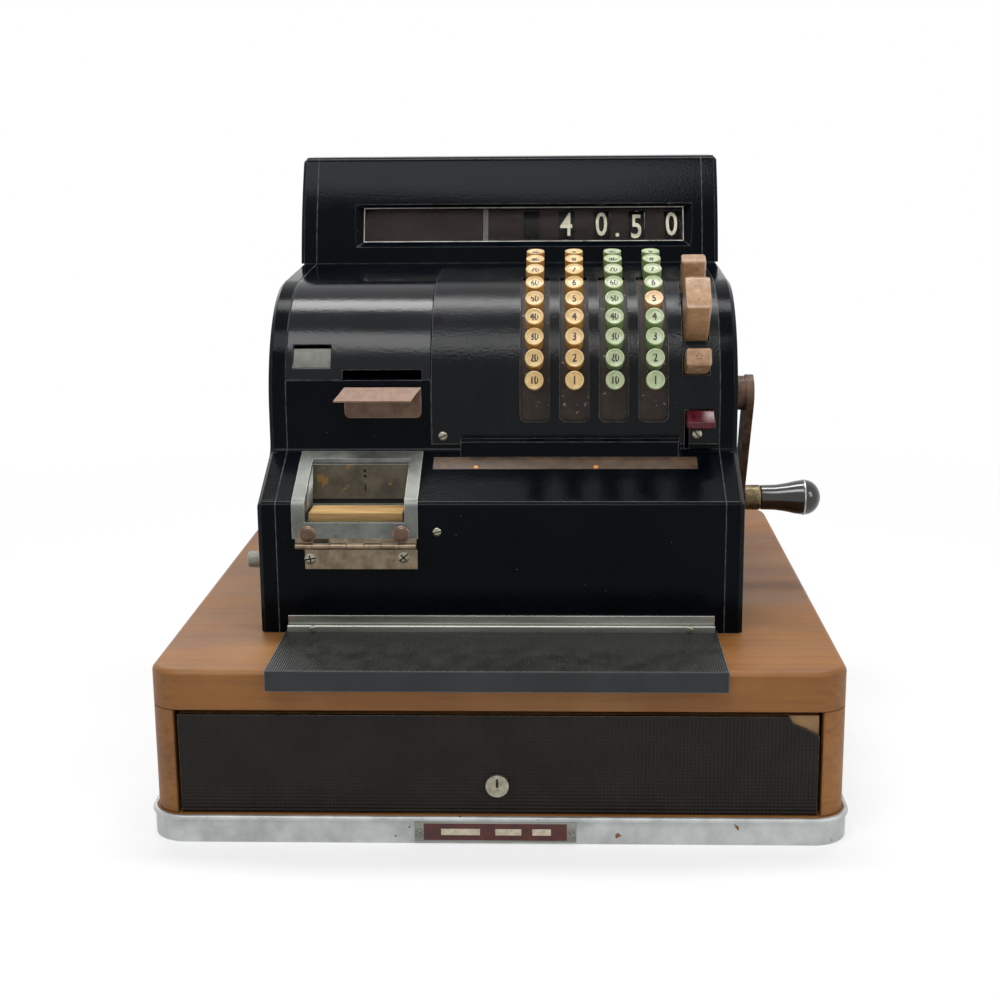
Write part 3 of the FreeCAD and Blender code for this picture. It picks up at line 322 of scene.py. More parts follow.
# Finishes: two colours, the size of their patches in mm, the range of roughness, and what is particular
# to each: grit in mm, sparse flecks (colour, size, share) and wear at the edges (colour, width, amount).
FINISHES = {
    # The keyboard panel's enamel, dulled by hands and dust.
    "panel_enamel": (("#05080b", "#0b0f12", 30, (0.15, 0.24)),
                     dict(grit=1.8, bump=0.25, Specular_IOR_Level=0.14, flecks=("#8a867c", 1.5, 0.78),
                          wear=("#8d897e", 0.8, 0.9))),
    # Hot-dipped sheet: pale grey with spangle, smears and some rust.
    "galvanised_sheet": (("#a6a9a8", "#c5c8c7", 20, (0.34, 0.55)),
                         dict(metallic=0.6, grit=1.2, bump=0.12, flecks=("#7a5636", 8, 0.72))),
    # Cast zinc that has dulled to blotchy grey.
    "mottled_zinc": (("#575a55", "#71746e", 14, (0.34, 0.48)),
                     dict(metallic=0.5, grit=0.8, bump=0.12, flecks=("#5d5648", 5, 0.70),
                          wear=("#c9cbc8", 0.8, 0.8))),
    # The chute's back plate: bronze gone brown, smeared with green.
    "aged_bronze": (("#342e23", "#50483a", 14, (0.3, 0.45)),
                    dict(metallic=0.5, grit=0.8, bump=0.1, flecks=("#6b5120", 9, 0.64))),
    # Copper sheet with a brown tarnish and a rubbed edge.
    "dull_copper": (("#4e392d", "#6b5342", 9, (0.34, 0.5)),
                    dict(metallic=0.5, grit=0.6, bump=0.15, wear=("#cfb29a", 0.6, 0.9))),
    # Blue-grey paint on the ledge's hanging lip.
    "lip_paint": (("#1e2122", "#282b2d", 30, (0.35, 0.5)),
                  dict(Specular_IOR_Level=0.3, wear=("#8f9498", 0.8, 0.9))),
    # Brown vulcanised fibre, scuffed pale where the paint has gone.
    "vulcanised_fibre": (("#1e1510", "#36291f", 9, (0.4, 0.6)),
                         dict(grit=0.7, bump=0.2, Specular_IOR_Level=0.3, flecks=("#85776a", 3, 0.68))),
    # Plain planed boards inside the drawer, dry and unvarnished.
    "drawer_timber": (("#8a6a45", "#a98658", 40, (0.6, 0.75)),
                      dict(grit=0.8, bump=0.3, stretch=(1, 0.15, 1))),
    # Plain bronze of the hinge, browned in its low spots.
    "worn_bronze": (("#6b5b49", "#91816a", 8, (0.3, 0.48)), dict(metallic=0.6, grit=0.6, bump=0.2)),
    # Nickel-plated screw heads, yellowed.
    "plated_screw": (("#807b6b", "#a8a392", 4, (0.25, 0.4)), dict(metallic=0.8)),
    # Bright rolled aluminium of the stepped strip.
    "bright_strip_metal": (("#74766f", "#a0a29a", 20, (0.25, 0.4)),
                           dict(metallic=0.9, grit=0.5, bump=0.08, stretch=(0.1, 1, 1))),
    # Pale grey sheet of the small shutter.
    "shutter_metal": (("#5e5f56", "#75766c", 6, (0.4, 0.55)), dict(grit=0.6, bump=0.08)),
    # Dark paint rubbed into the engraved numerals.
    "numeral_ink": (("#1d1712", "#33281f", 2, (0.45, 0.6)), {}),
    # Tan moulded plastic of the function keys, polished by use.
    "tan_moulding": (("#927050", "#b08c69", 9, (0.16, 0.3)),
                     dict(grit=1.2, bump=0.05, Subsurface_Weight=0.05, Coat_Weight=0.2)),
    # Dark red lacquer on the selector lever.
    "lever_lacquer": (("#3d0a15", "#611624", 6, (0.16, 0.3)),
                      dict(grit=1.0, bump=0.05, Specular_IOR_Level=0.3)),
    # Ivory paint of the indicator digits, slightly dirty.
    "ivory_paint": (("#c9bfa6", "#ece4cf", 4, (0.5, 0.65)), {}),
    # Matt black paint of the number wheels. It is also laid on the screw slots and the chute's holes and
    # feed gap as painted shade.
    "wheel_black": (("#0b0a0a", "#141212", 10, (0.4, 0.55)),
                    dict(grit=0.8, bump=0.1, Specular_IOR_Level=0.15)),
    # The dark brown blank flap at the left of the window.
    "blank_flap_brown": (("#1b1312", "#281e1c", 16, (0.35, 0.5)),
                         dict(grit=0.8, bump=0.1, Specular_IOR_Level=0.12)),
    # Dull grey paint of the window's post.
    "post_paint": (("#4b4746", "#5f5a58", 6, (0.4, 0.55)), {}),
    # A clear flat pane.
    "window_glass": (("#ffffff", "#f4f7f5", 60, (0.0, 0.02)), dict(Transmission_Weight=1.0, IOR=1.08)),
    # Forged steel of the crank, brown with old oil and rust.
    "browned_steel": (("#33231b", "#5f493a", 8, (0.35, 0.6)), dict(metallic=0.6, grit=0.9, bump=0.35)),
    # The ferrule: brass stained nearly black in patches.
    "stained_brass": (("#3f3729", "#7d6f52", 5, (0.28, 0.5)), dict(metallic=0.85, grit=0.6, bump=0.2)),
    # Polished black bakelite of the grip.
    "black_bakelite": (("#070707", "#0e0d0d", 12, (0.1, 0.2)), dict(grit=1.4, bump=0.04, Coat_Weight=0.4)),
    # The light metal ring in the grip.
    "pale_ring_metal": (("#9d9a92", "#cfccc4", 5, (0.25, 0.4)), dict(metallic=0.8)),
    # Pale grey moulded plastic of the side knob.
    "grey_knob_plastic": (("#827e74", "#9a968b", 6, (0.35, 0.5)), dict(grit=0.8, bump=0.08)),
    # Buff card, seen mostly at its cut edges.
    "ticket_card": (("#a07c48", "#c39f66", 9, (0.7, 0.85)), dict(grit=0.5, bump=0.2, stretch=(0.2, 1, 3))),
    # The brown strip under the form bar, faded in places.
    "scale_card": (("#3a2a1d", "#5d4630", 10, (0.4, 0.6)), dict(grit=0.7, bump=0.1)),
    # Small amber index marks.
    "amber_mark": (("#e08a2c", "#f2a94f", 2, (0.3, 0.4)), {}),
    # The rating plate's dark red lacquer.
    "oxblood_plate": (("#3c1512", "#57211c", 6, (0.3, 0.45)), dict(grit=0.6, bump=0.08)),
    # The plate's bare light fields.
    "ivory_field": (("#b8ab92", "#d6cbb4", 4, (0.4, 0.5)), {}),
}


@functools.cache
def finish(name):
    """One of the finishes of the table, made the first time that it is asked for."""
    look, more = FINISHES[name]
    plain = {key: value for key, value in more.items() if key not in ("flecks", "wear")}
    material = surface(name, *look, **plain)
    if "flecks" in more:
        flecked(material, *more["flecks"])
    if "wear" in more:
        rubbed(material, *more["wear"])
    return material


# Modelling helpers
def choose(piece):
    """Make one object the only selected and the active one."""
    for other in bpy.context.view_layer.objects:
        other.select_set(False)
    piece.select_set(True)
    bpy.context.view_layer.objects.active = piece


def editing(piece):
    """Open one object in edit mode, ready to select faces."""
    choose(piece)
    bpy.ops.object.mode_set(mode="EDIT")
    bpy.ops.mesh.select_mode(type="FACE")


def select_faces(piece, test):
    """In edit mode, select only the faces whose centre and normal pass a test."""
    bpy.ops.mesh.select_all(action="DESELECT")
    bpy.ops.object.mode_set(mode="OBJECT")
    for face in piece.data.polygons:
        face.select = bool(test(face.center, face.normal))
    bpy.ops.object.mode_set(mode="EDIT")


def cad_copy(node, name, keep=None):
    """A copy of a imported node, or of the faces that pass a test, its triangles merged to flat faces."""
    piece = bpy.data.objects.new(name, frame["nodes"][node].data.copy())
    bpy.context.scene.collection.objects.link(piece)
    piece.data.materials.clear()
    editing(piece)
    if keep:
        select_faces(piece, lambda centre, normal: not keep(centre, normal))
        bpy.ops.mesh.delete(type="FACE")
    bpy.ops.mesh.select_all(action="SELECT")
    bpy.ops.mesh.remove_doubles(threshold=0.00001)
    bpy.ops.mesh.dissolve_limited(angle_limit=math.radians(0.6))
    bpy.ops.object.mode_set(mode="OBJECT")
    return piece


def soften(piece, width, segments=2, limit=30):
    """Round a piece's sharp edges by a width in mm, and shade its curves smoothly."""
    choose(piece)
    if width:
        bevel = piece.modifiers.new("edge", "BEVEL")
        bevel.width = width * MM
        bevel.segments = segments
        bevel.limit_method = "ANGLE"
        bevel.angle_limit = math.radians(limit)
        bpy.ops.object.modifier_apply(modifier=bevel.name)
    bpy.ops.object.shade_smooth_by_angle(angle=math.radians(limit))
    flat = piece.modifiers.new("flat", "WEIGHTED_NORMAL")
    flat.keep_sharp = True
    bpy.ops.object.modifier_apply(modifier=flat.name)


def placed(piece, matrix):
    """Move a piece's mesh to its place, and leave its object at the origin."""
    piece.data.transform(matrix)
    piece.matrix_world = Matrix.Identity(4)
    piece.data.update()
    return piece


def block(name, low, high):
    """A box between two corners, in metres."""
    low, high = Vector(low), Vector(high)
    bpy.ops.mesh.primitive_cube_add(size=1)
    piece = bpy.context.object
    piece.name = name
    return placed(piece, Matrix.Translation((low + high) / 2) @ Matrix.Diagonal((*(high - low), 1)))


def turned(name, steps, sides=48):
    """A piece turned about Z, from (height, radius) steps in mm, closed at both ends."""
    height, radius = steps[0]
    bpy.ops.mesh.primitive_circle_add(vertices=sides, radius=radius * MM, fill_type="NGON")
    piece = bpy.context.object
    piece.name = name
    placed(piece, Matrix.Translation((0, 0, height * MM)))
    editing(piece)
    bpy.ops.mesh.select_all(action="SELECT")
    for next_height, next_radius in steps[1:]:
        bpy.ops.mesh.extrude_region_move(
            TRANSFORM_OT_translate={"value": (0, 0, (next_height - height) * MM)})
        share = next_radius / radius
        bpy.ops.transform.resize(value=(share, share, 1))
        height, radius = next_height, next_radius
    bpy.ops.mesh.select_all(action="SELECT")
    bpy.ops.mesh.normals_make_consistent(inside=False)
    bpy.ops.object.mode_set(mode="OBJECT")
    return piece


def facing_front(x, y, z, lean=0):
    """The place of a piece modelled face up that ends up facing the operator."""
    return Matrix.Translation((x, y, z)) @ Matrix.Rotation(math.radians(90 - lean), 4, "X")


def on_drum(angle, x):
    """The place of a piece modelled up Z that ends up standing out of the drum."""
    return Matrix.Translation((x, DRUM_Y, DRUM_Z)) @ Matrix.Rotation(math.radians(90 - angle), 4, "X")


def lettering(name, text, height, thickness=0.06, bold=0.0):
    """Plain numerals as a thin mesh lying in XY, centred, facing up Z. Sizes in mm."""
    bpy.ops.object.text_add(location=(0, 0, 0))
    piece = bpy.context.object
    piece.name = name
    piece.data.body = text
    piece.data.size = height * MM * 1.43
    piece.data.align_x = "CENTER"
    piece.data.align_y = "CENTER"
    piece.data.extrude = thickness * MM / 2
    piece.data.offset = bold * MM
    piece.data.resolution_u = 3
    choose(piece)
    bpy.ops.object.convert(target="MESH")
    return piece


def dressed(piece, body, material, slot, *nodes):
    """Give a finished piece its material and its body, and hide the nodes it stands for. The slot is not
    used.
    """
    if material and not piece.data.materials:
        piece.data.materials.append(material)
    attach(piece, body)
    if nodes:
        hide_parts(*nodes)


def paint(piece, material, test):
    """Give the faces that pass a test a further material."""
    piece.data.materials.append(material)
    index = len(piece.data.materials) - 1
    for face in piece.data.polygons:
        if test(face.center, face.normal):
            face.material_index = index


def join(pieces):
    """Join pieces into the first."""
    choose(pieces[0])
    for piece in pieces[1:]:
        piece.select_set(True)
    bpy.ops.object.join()
    return pieces[0]


def twin(piece, name):
    """A copy with its own mesh."""
    other = piece.copy()
    other.data = piece.data.copy()
    other.name = name
    bpy.context.scene.collection.objects.link(other)
    return other


def screw(name, matrix, radius, cross, turn):
    """A domed screw head of the casing, with a slot or a cross cut into it. Radius in mm."""
    reach = radius * 1.2 * MM
    half = radius * 0.13 * MM
    short = radius * 0.7 * MM
    head = turned(name, [(-1.0, radius), (0.5, radius), (1.0, radius * 0.8), (1.2, radius * 0.45)], 32)
    cuts = [(reach, half, 0.35)]
    if cross:
        cuts.append((half, short, 0.6))
    for half_x, half_y, floor in cuts:
        cutter = block("cut", (-half_x, -half_y, floor * MM), (half_x, half_y, 3 * MM))
        choose(head)
        slot = head.modifiers.new("slot", "BOOLEAN")
        slot.operation = "DIFFERENCE"
        slot.object = cutter
        bpy.ops.object.modifier_apply(modifier=slot.name)
        bpy.data.objects.remove(cutter)
    head.data.materials.append(finish("plated_screw"))
    # The faces inside the cut slot are painted matt black: painted shade in the slot.
    paint(head, finish("wheel_black"),
          lambda c, n: 0 < c.z < 0.9 * MM and math.hypot(c.x, c.y) < radius * 0.8 * MM)
    placed(head, matrix @ Matrix.Rotation(math.radians(turn), 4, "Z"))
    soften(head, 0)
    dressed(head, "casing", None, "lock_steel")


class RegisterSizes(bpy.types.PropertyGroup):
    """The sizes that a user would change."""
    enamel_round: bpy.props.FloatProperty(
        name="Enamel edge", description="Rounding of the covers' edges", default=0.9 * MM,
        min=0.1 * MM, subtype="DISTANCE")
    wood_round: bpy.props.FloatProperty(
        name="Wood edge", description="Rounding of the boards' edges", default=1.2 * MM,
        min=0.1 * MM, subtype="DISTANCE")
    numeral_height: bpy.props.FloatProperty(
        name="Key numerals", description="Height of the keys' numerals", default=6.8 * MM,
        min=MM, subtype="DISTANCE")
    digit_height: bpy.props.FloatProperty(
        name="Indicator digits", description="Height of the indicator's digits", default=20.5 * MM,
        min=MM, subtype="DISTANCE")
    rib_pitch: bpy.props.FloatProperty(
        name="Rib pitch", description="Distance between the coin ledge's ribs", default=1.6 * MM,
        min=0.5 * MM, subtype="DISTANCE")
    grid_pitch: bpy.props.FloatProperty(
        name="Grid pitch", description="Distance between the facing's pressed squares", default=2.6 * MM,
        min=0.5 * MM, subtype="DISTANCE")


class RegisterColours(bpy.types.PropertyGroup):
    """The colours that a user would change."""
    floor: bpy.props.FloatVectorProperty(
        name="Backdrop", description="Colour behind the object", subtype="COLOR", size=4,
        default=linear("#ffffff"), min=0, max=1)


class TICKET_REGISTER_OT_stage(bpy.types.Operator):
    """Set up the camera, the pale floor and the soft studio light"""
    bl_idname = "ticket_register.stage"
    bl_label = "Stage"

    def execute(self, context):
        scene = context.scene
        camera = bpy.data.cameras.new("camera")
        camera.sensor_width = 36.0
        camera.lens = 58.05
        camera.shift_x = -0.0104
        camera.shift_y = -0.0059
        holder = bpy.data.objects.new("camera", camera)
        scene.collection.objects.link(holder)
        yaw, pitch, roll = (math.radians(angle) for angle in CAMERA_TURN)
        turn = Matrix.Rotation(yaw, 4, "Z") @ Matrix.Rotation(math.pi / 2 - pitch, 4, "X")
        turn = turn @ Matrix.Rotation(roll, 4, "Z")
        holder.matrix_world = Matrix.Translation(CAMERA_PLACE) @ turn
        scene.camera = holder

        backdrop = tuple(scene.register_colours.floor)
        bpy.ops.mesh.primitive_plane_add(size=40, location=(0, 0, 0))
        floor = context.object
        floor.name = "floor"
        floor.data.materials.append(studio_floor(backdrop))

        for name, (place, target, width, depth, power) in LAMPS.items():
            lamp = bpy.data.lights.new(name, "AREA")
            lamp.shape = "RECTANGLE"
            lamp.size = width
            lamp.size_y = depth
            lamp.energy = power
            lit = bpy.data.objects.new(name, lamp)
            scene.collection.objects.link(lit)
            lit.location = place
            lit.rotation_euler = (Vector(target) - Vector(place)).to_track_quat("-Z", "Y").to_euler()

        world = bpy.data.worlds.new("studio")
        scene.world = world
        tree = emptied(world)
        seen = add(tree, "ShaderNodeBackground", {"Color": backdrop, "Strength": 1.0})
        lighting = add(tree, "ShaderNodeBackground", {"Color": linear("#eef1f5"), "Strength": 0.32})
        either = add(tree, "ShaderNodeMixShader",
                     {0: backdrop_rays(tree), 1: lighting.outputs[0], 2: seen.outputs[0]})
        add(tree, "ShaderNodeOutputWorld", {"Surface": either.outputs[0]})
        scene.view_settings.view_transform = "Standard"
        return {"FINISHED"}


class TICKET_REGISTER_OT_cabinet(bpy.types.Operator):
    """Dress the wooden cabinet and its plinth"""
    bl_idname = "ticket_register.cabinet"
    bl_label = "Cabinet and plinth"

    def execute(self, context):
        wood = varnished_wood()
        edge = context.scene.register_sizes.wood_round / MM
        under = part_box("drawer_facing")[1].z + 3.5 * MM
        near = 0.01 * MM
        tops = cad_copy("wood_cabinet", "cabinet_top",
                        lambda c, n: c.z > under + near or (abs(c.z - under) < near and n.z < -0.9))
        soften(tops, edge, 3, 20)
        dressed(tops, "casing", wood, "cabinet_wood", "wood_cabinet")
        walls = cad_copy("wood_cabinet", "cabinet_walls",
                         lambda c, n: c.z < under - near or (abs(c.z - under) < near and n.z > 0.9))
        soften(walls, edge * 0.6, 2, 40)
        dressed(walls, "casing", wood, "cabinet_wood", "wood_cabinet")

        pan = cad_copy("plinth", "plinth_pan")
        soften(pan, 0.9, 3, 30)
        dressed(pan, "casing", finish("galvanised_sheet"), "galvanised_plinth", "plinth")
        self.rating_plate()
        return {"FINISHED"}

    def rating_plate(self):
        """A bare plate on the plinth's front: a bright rim, a dark red ground and three light fields."""
        front = PLINTH[0].y / MM
        middle = -1.4
        height = 9.6
        field = finish("ivory_field")
        for name, half_x, half_z, proud, x, material in (
                ("plate_rim", 55.8, 7.4, 0.5, 0, finish("bright_strip_metal")),
                ("plate_ground", 49.5, 6.2, 0.62, 0, finish("oxblood_plate")),
                ("plate_field_left", 13.5, 2.4, 0.7, -24, field),
                ("plate_field_middle", 9.0, 2.4, 0.7, 9, field),
                ("plate_field_right", 6.5, 2.4, 0.7, 32, field)):
            plate = block(name, ((middle + x - half_x) * MM, (front - proud) * MM, (height - half_z) * MM),
                          ((middle + x + half_x) * MM, (front + 2) * MM, (height + half_z) * MM))
            soften(plate, 0.25)
            dressed(plate, "casing", material, "galvanised_plinth")
        for side in (-1, 1):
            place = facing_front((middle + side * 52.6) * MM, (front - 0.5) * MM, height * MM)
            screw(f"plate_screw_{side}", place, 1.7, False, 35 * side)


class TICKET_REGISTER_OT_drawer(bpy.types.Operator):
    """Dress the drawer, its embossed facing and its lock"""
    bl_idname = "ticket_register.drawer"
    bl_label = "Drawer"

    def execute(self, context):
        laminate = embossed_laminate(context.scene.register_sizes.grid_pitch / MM)
        for node, name, width, body, material, slot in (
                ("drawer_box", "drawer_tray", 0.6, "drawer", finish("drawer_timber"), "drawer_wood"),
                ("drawer_facing", "embossed_facing", 0.4, "drawer", laminate, "drawer_laminate"),
                ("drawer_lock", "lock_barrel", 0.4, "drawer_lock", finish("plated_screw"), "lock_steel")):
            piece = cad_copy(node, name)
            soften(piece, width, 2, 40)
            dressed(piece, body, material, slot, node)
        return {"FINISHED"}


class TICKET_REGISTER_OT_casing(bpy.types.Operator):
    """Dress the enamelled frames, covers, panel and housing"""
    bl_idname = "ticket_register.casing"
    bl_label = "Casing"

    def execute(self, context):
        edge = context.scene.register_sizes.enamel_round / MM
        # The last colour of each enamel lightens the covers' edges: partly wear, partly a painted
        # highlight on the edges and creases.
        enamel = stove_enamel("glossy_enamel", 0.22, "#4a4f53")
        dulled = stove_enamel("dulled_enamel", 0.05, "#80868a")

        def between(value, span):
            return span[0] < value < span[1]

        def in_scale(c, n):
            return between(c.x, SCALE_X) and between(c.y, SCALE_Y) and between(c.z - WOOD_TOP, SCALE_RISE)

        def in_shutter(c, n):
            reach = math.hypot(c.y - DRUM_Y, c.z - DRUM_Z)
            return between(c.x, SHUTTER_X) and between(c.z - WOOD_TOP, SHUTTER_RISE) and \
                reach < SHUTTER_REACH and c.y < DRUM_Y

        def in_cap(c, n):
            past = abs(c.x) - CAP_INSIDE
            return past > 0.01 * MM or (abs(past) < 0.01 * MM and n.x * c.x < 0)

        for node, name, width, material, slot, keep in (
                ("end_frames", "cast_end_frames", 1.8, dulled, "frame_enamel", None),
                ("front_cover", "front_cover_sheet", edge, dulled, "cover_enamel",
                 lambda c, n: not in_scale(c, n)),
                ("front_cover", "scale_strip", 0.0, finish("scale_card"), "cover_enamel", in_scale),
                ("drum_cover", "drum_cover_sheet", edge, enamel, "cover_enamel",
                 lambda c, n: not in_shutter(c, n)),
                ("drum_cover", "shutter_plate", 0.2, finish("shutter_metal"), "cover_enamel", in_shutter),
                ("keyboard_panel", "keyboard_plate", edge, finish("panel_enamel"), "cover_enamel", None),
                ("indicator_housing", "indicator_shell", 0.7, dulled, "cover_enamel",
                 lambda c, n: not in_cap(c, n)),
                ("indicator_housing", "indicator_caps", 2.2, dulled, "cover_enamel", in_cap),
                ("key_bed", "fibre_bed", 0.3, finish("vulcanised_fibre"), "key_bed_fibre", None)):
            piece = cad_copy(node, name, keep)
            soften(piece, width, 3, 32)
            dressed(piece, "casing", material, slot, node)
            # Below its belly the drum's downward-facing faces get the less reflective enamel: painted
            # shade, so that the lower drum looks darker than its upper side.
            if material is enamel:
                paint(piece, dulled, lambda c, n: n.z < 0.15)
        for node, width, body, slot, material in (
                ("crank_arm", 1.2, "crank", "crank_steel", finish("browned_steel")),
                ("side_knob", 0.8, "side_knob", "knob_grey", finish("grey_knob_plastic")),
                ("selector_lever", 0.7, "selector_lever", "lever_red", finish("lever_lacquer")),
                ("chute_hinge", 0.15, "casing", "hinge_steel", finish("worn_bronze")),
                ("tear_plate", 0.3, "casing", "tear_copper", finish("dull_copper"))):
            piece = cad_copy(node, f"{node}_piece")
            soften(piece, width, 3, 32)
            dressed(piece, body, material, slot, node)
        self.screws()
        return {"FINISHED"}

    def screws(self):
        """The screws that hold the panel, the covers and the hinge."""
        face = FACE_Y - 1.1 * MM
        leaf = CASE_FRONT - 1.3 * MM
        strip = CASE_FRONT - 8 * MM
        for name, x, y, z, radius, cross, turn in (
                ("panel_screw_left", -0.0446, face, 0.2591, 3.4, False, 25),
                ("panel_screw_right", 0.1457, face, 0.2603, 3.6, False, -50),
                ("cover_screw", -0.0455, CASE_FRONT, 0.2000, 3.1, False, 15),
                ("hinge_screw_left", -0.1379, leaf, 0.1803, 4.1, True, 10),
                ("hinge_screw_right", -0.0699, leaf, 0.1814, 4.1, True, 40),
                ("strip_screw_left", -0.1369, strip, WOOD_TOP + 5.4 * MM, 2.3, False, 20),
                ("strip_screw_right", 0.1372, strip, WOOD_TOP + 5.4 * MM, 2.3, False, -40)):
            screw(name, facing_front(x, y, z), radius, cross, turn)


class TICKET_REGISTER_OT_ledges(bpy.types.Operator):
    """Dress the ribbed coin ledge with its bright strip, and mark the scale strip"""
    bl_idname = "ticket_register.ledges"
    bl_label = "Ledges"

    def execute(self, context):
        plate_top = WOOD_TOP + 3.01 * MM
        shelf = cad_copy("coin_ledge", "coin_shelf", lambda c, n: c.z < plate_top)
        soften(shelf, 0.6, 3, 32)
        ribbed = ribbed_sheet(context.scene.register_sizes.rib_pitch / MM)
        dressed(shelf, "casing", ribbed, "ledge_enamel", "coin_ledge")
        paint(shelf, finish("lip_paint"), lambda c, n: n.y < -0.7)
        strip = cad_copy("coin_ledge", "stepped_strip", lambda c, n: c.z > plate_top)
        soften(strip, 0.5, 2, 32)
        dressed(strip, "casing", finish("bright_strip_metal"), "ledge_enamel", "coin_ledge")
        slope = math.radians(LEDGE_SLOPE)
        setback = FACE_Y - 20.5 * MM - CASE_FRONT
        height = WOOD_TOP + FRONT_HEIGHT + setback * math.tan(slope)
        for name, x, radius in (("scale_mark_left", -0.0190, 1.7), ("scale_mark_right", 0.0698, 1.9)):
            mark = turned(name, [(-0.2, radius), (0.2, radius)], 24)
            place = Matrix.Translation((x, CASE_FRONT + setback, height))
            placed(mark, place @ Matrix.Rotation(slope, 4, "X"))
            dressed(mark, "casing", finish("amber_mark"), "cover_enamel")
        return {"FINISHED"}


class TICKET_REGISTER_OT_window(bpy.types.Operator):
    """Fit the indicator window: pane, flap, post, plates between the wheels and the pane's trim"""
    bl_idname = "ticket_register.window"
    bl_label = "Indicator window"

    def execute(self, context):
        lean = math.radians(WINDOW_LEAN)
        self.place = facing_front(0, WHEEL_CENTRE.y - WINDOW_REACH * math.cos(lean),
                                  WHEEL_CENTRE.z + WINDOW_REACH * math.sin(lean), WINDOW_LEAN)
        glass = cad_copy("indicator_glass", "window_pane")
        dressed(glass, "casing", finish("window_glass"), "window_glass", "indicator_glass")
        wheels = cad_copy("number_wheels", "wheel_set")
        soften(wheels, 0.3, 2, 40)
        dressed(wheels, "number_wheels", finish("wheel_black"), "wheel_black", "number_wheels")
        back = GLASS_BACK - 0.27 * MM
        front = GLASS_BACK - 0.12 * MM
        brown = finish("blank_flap_brown")
        black = finish("wheel_black")
        trim = finish("pale_ring_metal")
        left, right = WINDOW_X
        high = (-PANE_HALF, PANE_HALF)
        deep = (back, front)
        edges = [-0.0179]
        for wheel in range(5):
            x = WHEEL_FIRST + wheel * WHEEL_PITCH
            edges += [x - 6.7 * MM, x + 6.7 * MM]
        edges.append(right)
        for index in range(0, len(edges), 2):
            self.fit(f"wheel_plate_{index // 2}", edges[index:index + 2], high, deep, brown)
        self.fit("blank_flap", (left, -0.0229), high, deep, brown)
        self.fit("window_post", (-0.0222, -0.0179), high, deep, finish("post_paint"))
        masked = (back - 0.02 * MM, back + 0.05 * MM)
        self.fit("wheel_mask_low", (0.0, right), (-PANE_HALF, -12.7 * MM), masked, black)
        self.fit("wheel_mask_high", (0.0, right), (12.2 * MM, PANE_HALF), masked, black)
        point = turned("decimal_point", [(0, 1.6), (0.06, 1.6)], 24)
        placed(point, self.place @ Matrix.Translation((0.0917, -8.5 * MM, front)))
        dressed(point, "casing", finish("ivory_paint"), "cover_enamel")
        wide = 0.7 * MM
        rim = (-7.9 * MM, -6.2 * MM)
        self.fit("trim_low", (left, right), (-PANE_HALF, wide - PANE_HALF), rim, trim, 0.3)
        self.fit("trim_high", (left, right), (PANE_HALF - wide, PANE_HALF), rim, trim, 0.3)
        self.fit("trim_left", (left, left + wide), high, rim, trim, 0.3)
        self.fit("trim_right", (right - wide, right), high, rim, trim, 0.3)
        self.digits(context.scene.register_sizes.digit_height / MM)
        return {"FINISHED"}

    def fit(self, name, across, up, deep, material, edge=0.0):
        """A thin block in the window's own plane, between three pairs of metres. Edge in mm."""
        piece = block(name, (across[0], up[0], deep[0]), (across[1], up[1], deep[1]))
        if edge:
            soften(piece, edge)
        dressed(placed(piece, self.place), "casing", material, "cover_enamel")

    def digits(self, height):
        """Ten ivory digits around each of the four numbered wheels."""
        for wheel, shown, slip in ((1, 4, 1.2), (2, 0, 1.2), (3, 5, -2.0), (4, 0, 1.2)):
            x = WHEEL_FIRST + wheel * WHEEL_PITCH
            ring = []
            for step in range(10):
                digit = lettering(f"digits_wheel{wheel}", str((shown + step) % 10), height, 0.3, 0.3)
                turn = math.radians(slip + 36 * step)
                for vertex in digit.data.vertices:
                    angle = vertex.co.y / WHEEL_RADIUS + turn
                    out = WHEEL_RADIUS + vertex.co.z
                    vertex.co = (vertex.co.x * 0.72, math.sin(angle) * out, math.cos(angle) * out)
                placed(digit, facing_front(x, WHEEL_CENTRE.y, WHEEL_CENTRE.z, WINDOW_LEAN))
                ring.append(digit)
            dressed(join(ring), "number_wheels", finish("ivory_paint"), "wheel_black")


